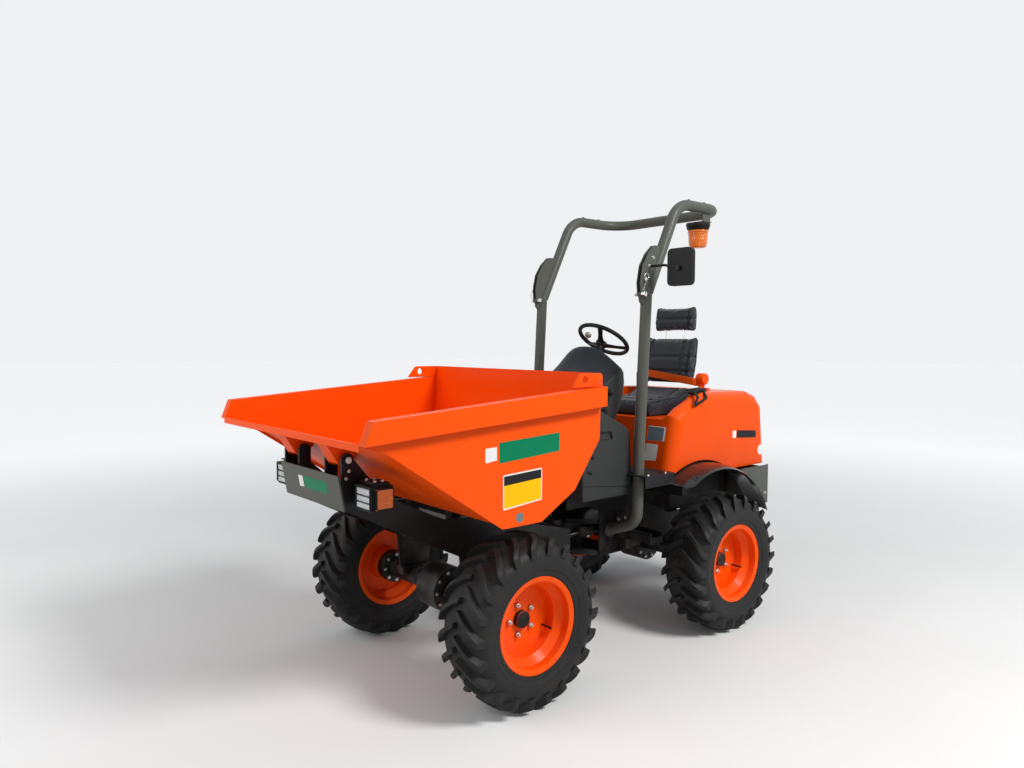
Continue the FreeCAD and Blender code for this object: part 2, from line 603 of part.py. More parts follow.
# %% Centre joint
boss_low = "joint - fork_open / 2 + face_gap"
boss_high = "fork_open - 2 * face_gap"
knuckle = fuse("JointBody", [
    rod("JointBoss", "z", "mid", "0", boss_low, "joint_r", boss_high),
    box("JointBlock", "mid + 20", "-joint_r - 8", boss_low, "75", "2 * joint_r + 16", boss_high),
    rod("JointFlange", "x", "mid + 90", "0", "joint", "joint_r + 8", "swivel_from - 90 - face_gap"),
    rod("JointShaft", "x", "mid + 90", "0", "joint", "swivel_r", "swivel_from + swivel_long - 70"),
    rod("JointNut", "x", "mid + swivel_from + swivel_long + face_gap", "0", "joint", "swivel_r + 16", "18"),
    box("SteerArm", "mid + 62", "0", "joint - 15", "54", "176", "30"),
    rod("SteerPin", "z", "mid + 90", "150", "joint - 21", "ram_pin_r", "36"),
])
node("centre_joint", cut("CentreJoint", knuckle, rod("JointBore", "z", "mid", "0", "joint - 200",
                                                     "pivot_pin_r + run_gap", "400")))

# %% Rear chassis
REAR_OUTLINE = [
    ("rear - tail_back", "axle + 198"), ("rear - tail_back", "axle + 75"), ("rear - 168", "axle + pad_up"),
    ("rear + 168", "axle + pad_up"), ("mid - 360", "joint - 100"), ("mid - 160", "joint - 100"),
    ("mid - 160", "top + 20 - seat_gap"), ("mid - 265", "top + 20 - seat_gap"), ("mid - 265", "top + 79"),
    ("mid - 435", "top + 79"), ("mid - 470", "top - 60"), ("rear - 20", "axle + 198"),
]
rear_plate = plate("RearPlate", REAR_OUTLINE, "rear_plate_y", "beam_wall")
HORN = [("rear - 627.5", "axle + 150"), ("rear - 600", "axle + 150"), ("rear - 600", "top + hood_hinge_up + 13"),
        ("rear - hood_hinge_back", "top + hood_hinge_up + 13"), ("rear - hood_hinge_back", "top + hood_hinge_up - 13"),
        ("rear - 627.5", "top + hood_hinge_up - 13")]
horn = plate("HingeHorn", HORN, "rear_plate_y", "beam_wall")
horn_eye = rod("HingeHornEye", "y", "rear - hood_hinge_back", "rear_plate_y", "top + hood_hinge_up", "13", "beam_wall")
horn_pin = rod("HingePin", "y", "rear - hood_hinge_back", "rear_plate_y", "top + hood_hinge_up", "8",
               "beam_wall + 20")
ram_shelf = box("RamShelf", "mid - 330", "72", "joint - 15", "54", "rear_plate_y - 67", "30")
ram_post = rod("RamShelfPin", "z", "mid - 300", "100", "joint - 15", "ram_pin_r", "64")
fender_stay = common("FenderStay", [
    box("StayBox", "rear + 250", "rear_plate_y + 5", "top + 10", "45", "fender_y - 50 - rear_plate_y - 5", "110"),
    rod("StayRound", "y", "rear", "0", "axle", "fender_r - fender_wall - fender_drop / 4 - seat_gap", "800")])
rear_stay = cut("RearStay", box("RearStayBox", "rear - 540", "rear_plate_y + 5", "axle + 180", "48",
                                "guard_half_w - guard_wall - rear_plate_y - 5 - seat_gap", "45"),
                rod("RearStayRound", "y", "rear", "430", "axle", "fender_r + seat_gap", "300"))
one_side = [rear_plate, horn, horn_eye, horn_pin, fender_stay, rear_stay]
pieces = one_side + [mirrored(piece.Name + "Right", piece) for piece in one_side] + [ram_shelf, ram_post]
NOSE = [("mid - 330", "-rear_plate_y"), ("mid - 170", "-rear_plate_y"), ("mid - 50", "-joint_r"),
        ("mid - 50", "joint_r"), ("mid - 170", "rear_plate_y"), ("mid - 330", "rear_plate_y")]
for level, low in (("Low", "joint - fork_open / 2 - fork_wall"), ("High", "joint + fork_open / 2")):
    pieces.append(sheet_plate("Fork" + level, NOSE, low, "fork_wall"))
    pieces.append(rod("ForkEye" + level, "z", "mid", "0", low, "joint_r + 2", "fork_wall"))
pieces += [
    box("ForkWeb", "mid - 180", "-66", "joint - 90", "20", "132", "180"),
    rod("PivotPin", "z", "mid", "0", "joint - fork_open / 2 - fork_wall - 8", "pivot_pin_r",
        "fork_open + 2 * fork_wall + 16"),
    box("BearerFront", "mid - 322", "-480", "top + 78", "40", "960", "floor_top - floor_wall - 78 - seat_gap"),
    box("BearerRear", "mid - 405", "-480", "top + 78", "40", "960", "floor_top - floor_wall - 78 - seat_gap"),
    box("EngineBearerFront", "rear - 130", "-rear_plate_y", "axle + 158", "50", "2 * rear_plate_y", "40 - seat_gap"),
    box("EngineBearerRear", "rear - 500", "-rear_plate_y", "axle + 158", "50", "2 * rear_plate_y", "40 - seat_gap"),
    box("TailCross", "rear - tail_back", "-rear_plate_y", "axle + 90", "16", "2 * rear_plate_y", "108"),
    box("HitchLow", "rear - 678", "-40", "axle + 100", "30", "80", "12"),
    box("HitchHigh", "rear - 678", "-40", "axle + 150", "30", "80", "12"),
    rod("HitchPin", "z", "rear - 672", "0", "axle + 96", "6", "74"),
]
node("rear_chassis", fuse("RearChassis", pieces))
carrier = box("ConsoleCarrier", "mid - 250", "rear_plate_y + beam_wall + seat_gap", "top - 45", "356", "beam_wall",
              "65 - seat_gap")
node("console_carriers", pair("ConsoleCarriers", carrier))
node("engine_block", box("EngineBlock", "rear - 560", "-rear_plate_y + 15", "axle + 198", "500",
                         "2 * rear_plate_y - 30", "430"))

# %% Tail guard and rear lamps
GUARD_PLAN = [(-331.5, 500), (-621.8, 500), (-672.5, 440)]


def guard_shape():
    """A sheet round the tail, open in front and cut out over each fender."""
    plan = [(rear + x, y * d.guard_half_w / 500) for x, y in GUARD_PLAN]
    outer = plan + [(x, -y) for x, y in reversed(plan)]
    wall = d.guard_wall
    inner = [(rear - 300, d.guard_half_w - wall), (plan[1][0] + wall * 0.4, d.guard_half_w - wall),
             (plan[2][0] + wall, plan[2][1] - wall * 0.4)]
    inner += [(x, -y) for x, y in reversed(inner)]
    solids = []
    for points in (outer, inner):
        corners = [Vector(x, y, top - 150) for x, y in points]
        solids.append(Part.Face(Part.makePolygon(corners + corners[:1])).extrude(Z * 236))
    sheet_wall = solids[0].cut(solids[1])
    over_fender = Part.makeCylinder(d.fender_r + d.seat_gap, 2 * d.fender_y, Vector(rear, -d.fender_y, axle), Y)
    lid_room = Part.makeBox(200, 2 * (d.guard_half_w - 20), 60, Vector(rear - 770, 20 - d.guard_half_w, top + 62))
    return sheet_wall.cut(over_fender).cut(lid_room)


shape_node("tail_guard", guard_shape())
node("rear_lamps", pair("RearLamps", box("RearLamp", "rear - 679", "330", "top - 60", "6.5 - seat_gap", "100", "60")))


# %% Fenders, floor and steps
def fender_shape():
    """A moulding that arches over the tyre and rolls down to its outer edge."""
    r, t, drop = d.fender_r, d.fender_wall, d.fender_drop
    low_y, high_y = d.hood_half_w - 10, d.fender_y
    across = [(low_y, r), (high_y - 50, r - drop * 0.25), (high_y - 12, r - drop * 0.65), (high_y, r - drop)]
    inside = [(y - (t if y > high_y - 1 else 0), radius - t) for y, radius in reversed(across)]
    inside[0] = (high_y - t, r - drop)
    corners = [Vector(rear + radius, y, axle) for y, radius in across + inside]
    section = Part.Face(Part.makePolygon(corners + corners[:1]))
    section.rotate(Vector(rear, 0, axle), Y, -56)
    corner_x, corner_y, r = rear + 299, high_y, 70
    square = Part.makeBox(200, 200, 400, Vector(corner_x - r, corner_y - r, axle + 300))
    round_corner = Part.makeCylinder(r, 400, Vector(corner_x - r, corner_y - r, axle + 300))
    return section.revolve(Vector(rear, 0, axle), Y * -1, 99).cut(square.cut(round_corner))


fender = fender_shape()
shape_node("fender_left", fender)
shape_node("fender_right", fender.mirror(Vector(), Y))

FLOOR_PLAN = [("mid - 194", "console_half_w + 5"), ("mid - 194", "floor_half_w"), ("mid - 436", "floor_half_w"),
              ("mid - 436", "-floor_half_w"), ("mid - 194", "-floor_half_w"), ("mid - 194", "-console_half_w - 5"),
              ("mid - 256", "-console_half_w - 5"), ("mid - 256", "console_half_w + 5")]
floor_low = "top + floor_top - floor_wall"
lip_left = box("FloorLip", "mid - 436", "floor_half_w - floor_wall", "top + floor_top - 62", "242", "floor_wall", "62")
leg_hole = rod("LegHole", "z", "mid - 240", "hoop_y", "top", "hoop_r + 8", "300")
floor = fuse("FloorWeldment", [sheet_plate("FloorSheet", FLOOR_PLAN, floor_low, "floor_wall"), lip_left,
                               mirrored("FloorLipRight", lip_left)])
node("floor_plate", cut("FloorPlate", floor, fuse("LegHoles", [leg_hole, mirrored("LegHoleRight", leg_hole)])))

# Each step: a tread between two hangers on the chassis plate.
step_root = "rear_plate_y + beam_wall + seat_gap"
step = fuse("StepLeft", [
    box("StepTread", "mid - 376", step_root, "joint - 5", "100", "262", "8"),
    box("StepBack", "mid - 376", step_root, "joint - 5", "8", "262", "60"),
    box("StepNose", "mid - 284", step_root, "joint - 5", "8", "262", "60"),
    box("StepRoot", "mid - 376", step_root, "joint - 5", "100", "8", "130"),
    box("StepEdge", "mid - 376", step_root + " + 254", "joint - 5", "100", "8", "34"),
])
node("steps", pair("Steps", step))

# %% Console and cowl
CONSOLE_OUTLINE = [("mid - 250", "top + 20"), ("mid + 128", "top + 20"), ("mid + 133", "top + 60"),
                   ("mid + 133", "top + 470"), ("mid + 110", "top + 496"), ("mid + 21", "top + 496"),
                   ("mid - 57", "top + 456"), ("mid - 211", "top + 379"), ("mid - 230", "top + 350")]
console = plate("ConsoleBody", CONSOLE_OUTLINE, "-console_half_w", "2 * console_half_w")
grip = box("ConsoleSlot", "mid - 190", "console_half_w - 12", "top + 250", "150", "20", "22")
node("console_base", cut("ConsoleBase", console, fuse("ConsoleSlots", [grip, mirrored("ConsoleSlotRight", grip)])))

# Half outlines of the cowl from the pivot and the tyre tops: at its sides, then at its crown.
COWL_SIDE = [(118, 496), (96, 640), (16, 700), (-40, 722), (-156, 730), (-252, 728), (-306, 630), (-284, 496)]
COWL_CROWN = [(128, 496), (98, 680), (20, 790), (-37, 817), (-136, 817), (-250, 742), (-312, 632), (-286, 496)]
wheel_at = Vector(mid - 401.75, 0, top + 853)
lean = Rotation(Y, -d.wheel_tilt)
down = lean.multVec(Z * -1)


def cowl_shape():
    """The cowl swells from its sides to its crown; the column goes in at its rear."""
    wires = []
    for y, points in ((-d.cowl_half_w, COWL_SIDE), (-d.cowl_crown_w, COWL_CROWN), (d.cowl_crown_w, COWL_CROWN),
                      (d.cowl_half_w, COWL_SIDE)):
        corners = [Vector(mid + x, y, top + z + d.seat_gap) for x, z in points]
        wires.append(Part.makePolygon(corners + corners[:1]))
    body = Part.makeLoft(wires, True, True)
    # The part of the foot behind the console's top hangs over its slope.
    foot = [(21, 496), (-57, 456), (-211, 379), (-283, 497), (-160, 560), (21, 500)]
    slope = slab(moved(foot, mid, top + d.seat_gap), -d.cowl_half_w, d.cowl_half_w)
    socket = Part.makeCylinder(24 + d.seat_gap, 60, wheel_at + down * 190, down)
    return body.fuse(slope).cut(socket)


shape_node("console_cowl", cowl_shape())


# %% Roll hoop
leg_x, hinge_z = mid - 293.75, top + d.hinge_up
hinge_x = leg_x + d.hoop_r + d.hinge_eye_r + 4
hoop_top_z = hinge_z + d.hoop_rise


def hoop_leg():
    """Lower leg: from a flange on the chassis plate outward, up to the hinge and its eye lug."""
    foot = d.rear_plate_y + d.beam_wall + d.seat_gap
    path = [Vector(mid - 235.75, foot, joint + 38), Vector(mid - 235.75, d.hoop_y, joint + 108),
            Vector(mid - 249.25, d.hoop_y, top + 320), Vector(leg_x, d.hoop_y, hinge_z + 20)]
    leg = bent_tube(path, 90, d.hoop_r)
    under = Part.makeBox(400, 400, hinge_z - 2, Vector(mid - 500, foot, 0))
    flange = Part.makeCylinder(39, 12, Vector(mid - 235.75, foot, joint + 38), Y)
    wide = 16
    y = d.hoop_y - wide / 2
    web = slab([(leg_x, hinge_z - 90), (hinge_x + 4, hinge_z - 40), (hinge_x + d.hinge_eye_r, hinge_z),
                (leg_x, hinge_z - 5)], y, y + wide)
    eye = Part.makeCylinder(d.hinge_eye_r, wide, Vector(hinge_x, y, hinge_z), Y)
    bore = Part.makeCylinder(d.hinge_pin_r + d.run_gap, 60, Vector(hinge_x, d.hoop_y - 30, hinge_z), Y)
    return leg.fuse(flange).common(under).multiFuse([web, eye]).cut(bore)


leg = hoop_leg()
shape_node("hoop_leg_left", leg)
shape_node("hoop_leg_right", leg.mirror(Vector(), Y))

# Front edge of a cheek plate, from the hinge pin up the tube.
CHEEK_EDGE = [(14, 0), (20, 60), (2, 150), (-40, 215), (-92, 262)]


def hoop_shape():
    """The upper bow: two leaning legs, two top runs and a rear bar, with cheeks on the pins."""
    points = []
    for side in (1, -1):
        run = [Vector(leg_x + 18.4, side * d.hoop_y, hinge_z - 40), Vector(leg_x - d.hoop_lean, side * d.hoop_y, hoop_top_z),
               Vector(leg_x - d.hoop_back, side * d.hoop_y, hoop_top_z)]
        points += run if side > 0 else run[::-1]
    under = Part.makeBox(400, 2000, 200, Vector(leg_x - 200, -1000, hinge_z + 1 - 200))
    pieces = [bent_tube(points, d.hoop_bend, d.hoop_r).cut(under)]
    lean_x = d.hoop_lean / d.hoop_rise
    for side in (1, -1):
        for inner in (9, -9 - d.cheek_wall):
            y = side * d.hoop_y + inner
            edge = moved(CHEEK_EDGE, hinge_x, hinge_z)
            heel = [(leg_x - lean_x * 262 + 10, hinge_z + 262), (leg_x, hinge_z + 14), (leg_x + 20, hinge_z + 8),
                    (hinge_x - 14, hinge_z)]
            cheek = slab(edge + heel, y, y + d.cheek_wall)
            pieces.append(cheek.fuse(Part.makeCylinder(d.hinge_eye_r, d.cheek_wall, Vector(hinge_x, y, hinge_z), Y)))
        pieces.append(Part.makeCylinder(d.hinge_pin_r, 44, Vector(hinge_x, side * d.hoop_y - 22, hinge_z), Y))
    shelf_x = leg_x - d.hoop_back + 160
    pieces.append(Part.makeBox(70, 120, 6, Vector(shelf_x - 35, d.hoop_y - 110, hoop_top_z - 77)))
    pieces.append(Part.makeBox(70, 6, 60, Vector(shelf_x - 35, d.hoop_y - 3, hoop_top_z - 77)))
    return pieces[0].multiFuse(pieces[1:])


shape_node("hoop_bow", hoop_shape())


def beacon_base_shape():
    """A flared cap under the bracket's shelf."""
    shelf = hoop_top_z - 77 - d.seat_gap
    centre = Vector(leg_x - d.hoop_back + 160, d.hoop_y - 55, shelf)
    cap = Part.makeCone(52, 68, 26, centre - Z * 40, Z)
    return cap.fuse(Part.makeCylinder(68, 14, centre - Z * 14, Z))


shape_node("beacon_base", beacon_base_shape())
dome_x, dome_y = "mid - 293.75 - hoop_back + 160", "hoop_y - 55"
dome_high = "top + hinge_up + hoop_rise - 117 - 2 * seat_gap"
node("beacon_dome", fuse("BeaconDome", [
    rod("DomeBarrel", "z", dome_x, dome_y, dome_high + " - 90", "55", "90"),
    rod("DomeRib", "z", dome_x, dome_y, dome_high + " - 12", "60", "12"),
    rod("DomeEnd", "z", dome_x, dome_y, dome_high + " - 100", "46", "11"),
]))
mirror_x = leg_x - 16
arm_x, arm_z = mirror_x + 8 + d.seat_gap, hinge_z + 140
arm_foot = Vector(arm_x, d.hoop_y + 9 + d.cheek_wall + d.seat_gap, arm_z + 8)
mirror_arm = bent_tube([arm_foot, Vector(arm_x, d.hoop_y + 110, arm_z + 8), Vector(arm_x, d.hoop_y + 205, arm_z - 14)],
                       30, 7)
clamp = Part.makeCylinder(14, 16, Vector(mirror_x + d.seat_gap, d.hoop_y + 195, arm_z - 12), X)
shape_node("mirror_arm", mirror_arm.fuse(clamp))


def mirror_shape():
    """A soft-cornered housing, its glass side to the rear."""
    block = Part.makeBox(32, d.mirror_w, d.mirror_high, Vector(mirror_x - 32, d.hoop_y + 122, hinge_z + 38))
    rounded = [edge for edge in block.Edges if abs(edge.Vertexes[0].X - edge.Vertexes[1].X) > 1]
    return block.makeFillet(26, rounded)


shape_node("mirror_head", mirror_shape())

# %% Hood and seat
# Side outline from the rear axle and the tyre tops: up the front, over the top, down the rear.
HOOD_SIDE = [(292.5, 0), (216, 404), (150, 452), (-62, 552), (-494, 540), (-575, 510),
             (-641, 429), (-680, 0)]


def hood_points():
    low, high = d.hood_foot_up, d.hood_top_up
    return moved([(x, low + z * (high - low) / 552 if z < 552 else high) for x, z in HOOD_SIDE], rear, top)


def well_prism(back_x, extra, low_z):
    """The seat's well in plan, wider towards the front."""
    narrow, wide = d.seat_half_w + extra, d.seat_half_w + d.well_open + extra
    plan = [(back_x, narrow), (rear + 40, wide), (rear + 400, wide)]
    corners = [Vector(x, y, low_z) for x, y in plan] + [Vector(x, -y, low_z) for x, y in plan[::-1]]
    return Part.Face(Part.makePolygon(corners + corners[:1])).extrude(Z * 600)


def hood_shape():
    """A moulded cover, open below, with round shoulders, wheel arches and the seat's well."""
    t, w, well = d.hood_wall, d.hood_half_w, d.seat_half_w
    outer = slab(hood_points(), -w, w)
    rim = [e for e in outer.Edges if abs(e.CenterOfMass.y) > w - 1 and e.CenterOfMass.z > top + d.hood_foot_up + 10]
    outer = outer.makeFillet(62, rim)
    face = Part.Face(Part.makePolygon([Vector(x, 0, z) for x, z in hood_points() + hood_points()[:1]]))
    inner = face.makeOffset2D(-t).extrude(Y * 2 * (w - t))
    inner.translate(Y * (t - w))
    rim = [e for e in inner.Edges if abs(e.CenterOfMass.y) > w - t - 1 and e.CenterOfMass.z > top + d.hood_foot_up + 20]
    inner = inner.makeFillet(62 - t, rim)
    below = Part.makeBox(960, 2 * (w - t), 40, Vector(rear - 670, t - w, top + d.hood_foot_up - 20))
    deck_z, well_x = top + d.deck_up, rear - 300
    hollow = inner.fuse(below)
    keep, room = well_prism(well_x - t, t, deck_z - t), well_prism(well_x, 0, deck_z)
    arch = Part.makeCylinder(d.arch_r, 2 * w + 20, Vector(rear, -w - 10, axle), Y)
    shell = outer.cut(hollow.cut(keep)).cut(room).cut(arch)
    lugs = []
    hinge = Vector(rear - d.hood_hinge_back, 0, top + d.hood_hinge_up)
    for y in (d.rear_plate_y + d.beam_wall + d.face_gap, -d.rear_plate_y - d.beam_wall - d.face_gap - 14):
        web = slab([(rear - 674, hinge.z - 11), (rear - 674, hinge.z + 12), (hinge.x, hinge.z + 12),
                    (hinge.x, hinge.z - 11)], y, y + 14)
        lugs.append(web.fuse(Part.makeCylinder(12, 14, hinge + Y * y, Y)))
    bore = Part.makeCylinder(8 + d.run_gap, 600, hinge - Y * 300, Y)
    whole = shell.multiFuse(lugs).cut(bore)
    return max(whole.removeSplitter().Solids, key=lambda piece: piece.Volume)


shape_node("hood_shell", hood_shape())


# Rows of each cushion's outline from the rear axle and the tyre tops.
CUSHION = [(172, 406), (178, 440), (160, 486), (60, 500), (-120, 512), (-215, 560), (-258, 575), (-262, 480),
           (-262, 406)]
BACKREST = [(-226, 567), (-205, 610), (-222, 720), (-262, 860), (-300, 880), (-332, 868), (-318, 700), (-280, 576),
            (-262, 576)]


def cushion_shape(points, half_w, rounding, gap):
    """An upholstered block with rolled side edges."""
    block = slab(moved(points, rear, top + gap), -half_w, half_w)
    edges = [e for e in block.Edges if abs(e.CenterOfMass.y) > half_w - 1 and e.Length > 2 * rounding]
    return block.makeChamfer(rounding, edges)


shape_node("seat_cushion", cushion_shape(CUSHION, 222, 14, -1 + d.seat_gap))
back = slab(moved(BACKREST, rear, top), -205, 205)
back = back.cut(slab(moved(CUSHION, rear, top - 1 + 2 * d.seat_gap), -300, 300))
shape_node("seat_back", back)
head = slab(moved([(-300, 902), (-292, 960), (-308, 1060), (-372, 1070), (-382, 1010), (-372, 902)], rear, top),
            -150, 150)
posts = [Part.makeCylinder(7, 60, Vector(rear - 318, y, top + 876), Z) for y in (-70, 70)]
shape_node("seat_headrest", head.multiFuse(posts).cut(back.makeOffsetShape(d.seat_gap, 0.01)))

# %% Steering wheel
def steering_shape():
    """Rim, three spokes, hub and knob; it turns on its own axis, tilted towards the driver."""
    r = d.hand_r
    rim = Part.makeTorus(r, d.hand_tube_r)
    hub = Part.makeCylinder(34, 34, Vector(0, 0, -46))
    pieces = [hub]
    for turn in (0, 120, 240):
        spoke = Part.makeCylinder(8, r - 16, Vector(16, 0, -30), Vector(r - 16, 0, 30))
        spoke.rotate(Vector(), Z, turn)
        pieces.append(spoke)
    knob = Part.makeCylinder(9, 40, Vector(r * 0.86, r * 0.5, 0))
    pieces.append(knob)
    return rim.multiFuse(pieces)


steering_wheel = shape_node("steering_wheel", steering_shape())
steering_wheel.Placement = Placement(wheel_at, lean)
column = doc.addObject("Part::Feature", "ColumnTube")
column.Shape = Part.makeCylinder(24, 201 - d.seat_gap, wheel_at + down * (46 + d.face_gap), down)
node("steering_column", column)


# %% Rams
def ram(name, foot, eye, radius, share, inset, side):
    """Barrel and rod between two pins. `share` is the barrel's part of the length at rest, the rod
    starts `inset` from the foot, and its eye carries the middle of the pin."""
    along = eye - foot
    far, way = along.Length, Vector(along).normalize()
    rod_r = radius * 0.5
    half = 14
    barrel = Part.makeCylinder(radius, far * share - 37, foot + way * 37, way)
    gland = Part.makeCylinder(radius + 4, 24, foot + way * (far * share - 24), way)
    neck = Part.makeCylinder(half - 1, 40, foot, way)
    foot_eye = Part.makeCylinder(24, 2 * half, foot - side * half, side)
    bore = Part.makeCylinder(rod_r + d.run_gap, far, foot + way * 44, way)
    pin_hole = Part.makeCylinder(d.ram_pin_r + d.run_gap, 60, foot - side * 30, side)
    shape_node(name + "_barrel", barrel.multiFuse([gland, neck, foot_eye]).cut(bore).cut(pin_hole))
    bar = Part.makeCylinder(rod_r, far - inset - 12, foot + way * inset, way)
    rod_eye = Part.makeCylinder(24, 2 * half, eye - side * half, side)
    eye_hole = Part.makeCylinder(d.ram_pin_r + d.run_gap, 60, eye - side * 30, side)
    pin = Part.makeCylinder(d.ram_pin_r, 2 * half + 3, eye - side * half, side)
    shape_node(name + "_rod", Part.makeCompound([bar.fuse(rod_eye).cut(eye_hole), pin]))


steer_foot, steer_eye = Vector(mid - 300, 100, joint + 30), Vector(mid + 90, 150, joint + 30)
ram("tip_ram", tip_foot, tip_eye, d.tip_ram_r, 0.62, 80, Y)
ram("steer_ram", steer_foot, steer_eye, d.steer_ram_r, 0.6, 130, Z)


# %% Check and export
def check(things):
    """Stop on anything that the document could not build."""
    for thing in things:
        if "Invalid" in thing.State or "Error" in thing.State:
            raise RuntimeError("%s did not build: %s" % (thing.Label, thing.State))
    for thing in NODES:
        if thing.Shape.isNull() or not thing.Shape.isValid():
            raise RuntimeError("%s is not a valid shape" % thing.Label)


doc.recompute()
check(doc.Objects)
os.makedirs("parts", exist_ok=True)
for thing in NODES:
    thing.Shape.exportStep("parts/%s.step" % thing.Label)
whole = Part.makeCompound([thing.Shape for thing in NODES])
print(len(NODES), "nodes, box", whole.BoundBox)
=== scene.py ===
# %% [markdown]
# # A site dumper, dressed for its portrait
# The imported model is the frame: every piece below goes where its solid is and rides on its body.
# The machine is a small articulated dumper.  A skip tips over the front wheels, and the driver
# sits on the hood behind it, under a folding roll hoop.

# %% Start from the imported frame
import bmesh
import bpy
import json
import math
from mathutils import Matrix, Vector
from mathutils.bvhtree import BVHTree


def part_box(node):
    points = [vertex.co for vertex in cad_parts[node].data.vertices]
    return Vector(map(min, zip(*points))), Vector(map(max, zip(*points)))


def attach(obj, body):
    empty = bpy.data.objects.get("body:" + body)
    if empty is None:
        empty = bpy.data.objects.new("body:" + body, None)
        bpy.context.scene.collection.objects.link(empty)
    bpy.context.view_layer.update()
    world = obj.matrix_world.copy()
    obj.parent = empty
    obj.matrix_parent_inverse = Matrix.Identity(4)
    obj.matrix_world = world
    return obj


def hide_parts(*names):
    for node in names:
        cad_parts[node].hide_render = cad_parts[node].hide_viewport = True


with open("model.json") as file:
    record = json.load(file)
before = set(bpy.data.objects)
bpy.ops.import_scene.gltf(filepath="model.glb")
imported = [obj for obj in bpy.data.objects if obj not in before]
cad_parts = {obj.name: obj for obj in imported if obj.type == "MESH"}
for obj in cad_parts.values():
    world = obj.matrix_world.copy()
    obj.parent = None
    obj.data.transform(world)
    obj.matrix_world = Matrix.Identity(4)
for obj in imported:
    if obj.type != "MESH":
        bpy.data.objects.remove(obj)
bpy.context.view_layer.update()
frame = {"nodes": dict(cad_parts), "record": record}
SCENE = bpy.context.scene

# %% [markdown]
# ## The camera
# The eye point and the angles were solved from the wheels, the skip and the hoop in the picture.
# Yaw turns about the vertical from +X, pitch looks down, and roll tips the horizon a little.

# %% Camera
EYE = Vector((2.8484, 3.1054, 1.5858))
YAW, PITCH, ROLL = math.radians(229.747), math.radians(3.084), math.radians(0.145)
FOCAL_PIXELS, IMAGE_WIDTH, SENSOR = 774.42, 1024, 36.0


def add_camera():
    """A camera whose axes come from the three angles."""
    ahead = Vector((math.cos(YAW) * math.cos(PITCH), math.sin(YAW) * math.cos(PITCH), -math.sin(PITCH)))
    level = Vector((math.sin(YAW), -math.cos(YAW), 0.0))
    over = level.cross(ahead)
    right = level * math.cos(ROLL) + over * math.sin(ROLL)
    up = over * math.cos(ROLL) - level * math.sin(ROLL)
    lens = bpy.data.cameras.new("PortraitLens")
    lens.sensor_width = SENSOR
    lens.lens = FOCAL_PIXELS / IMAGE_WIDTH * SENSOR
    camera = bpy.data.objects.new("PortraitCamera", lens)
    camera.matrix_world = Matrix((right, up, -ahead)).transposed().to_4x4()
    camera.location = EYE
    SCENE.collection.objects.link(camera)
    SCENE.camera = camera
    return lens.lens


print("lens, mm:", round(add_camera(), 2))

# %% [markdown]
# ## Shader maths as expressions
# A finish is a chain of small sums: more dust where the noise is high, less shine where there is
# dust.  Wrapping a socket in a class lets each sum be written as Python.

# %% Signals and finishes
class Signal:
    """A number that changes over a surface; sums on it add Math nodes."""

    def __init__(self, finish, socket):
        self.finish, self.socket = finish, socket

    def sum(self, operation, first, second):
        return self.finish.number("ShaderNodeMath", {"operation": operation}, {0: first, 1: second})

    def __add__(self, other): return self.sum("ADD", self, other)
    def __radd__(self, other): return self.sum("ADD", other, self)
    def __sub__(self, other): return self.sum("SUBTRACT", self, other)
    def __rsub__(self, other): return self.sum("SUBTRACT", other, self)
    def __mul__(self, other): return self.sum("MULTIPLY", self, other)
    def __rmul__(self, other): return self.sum("MULTIPLY", other, self)
    def __pow__(self, other): return self.sum("POWER", self, other)


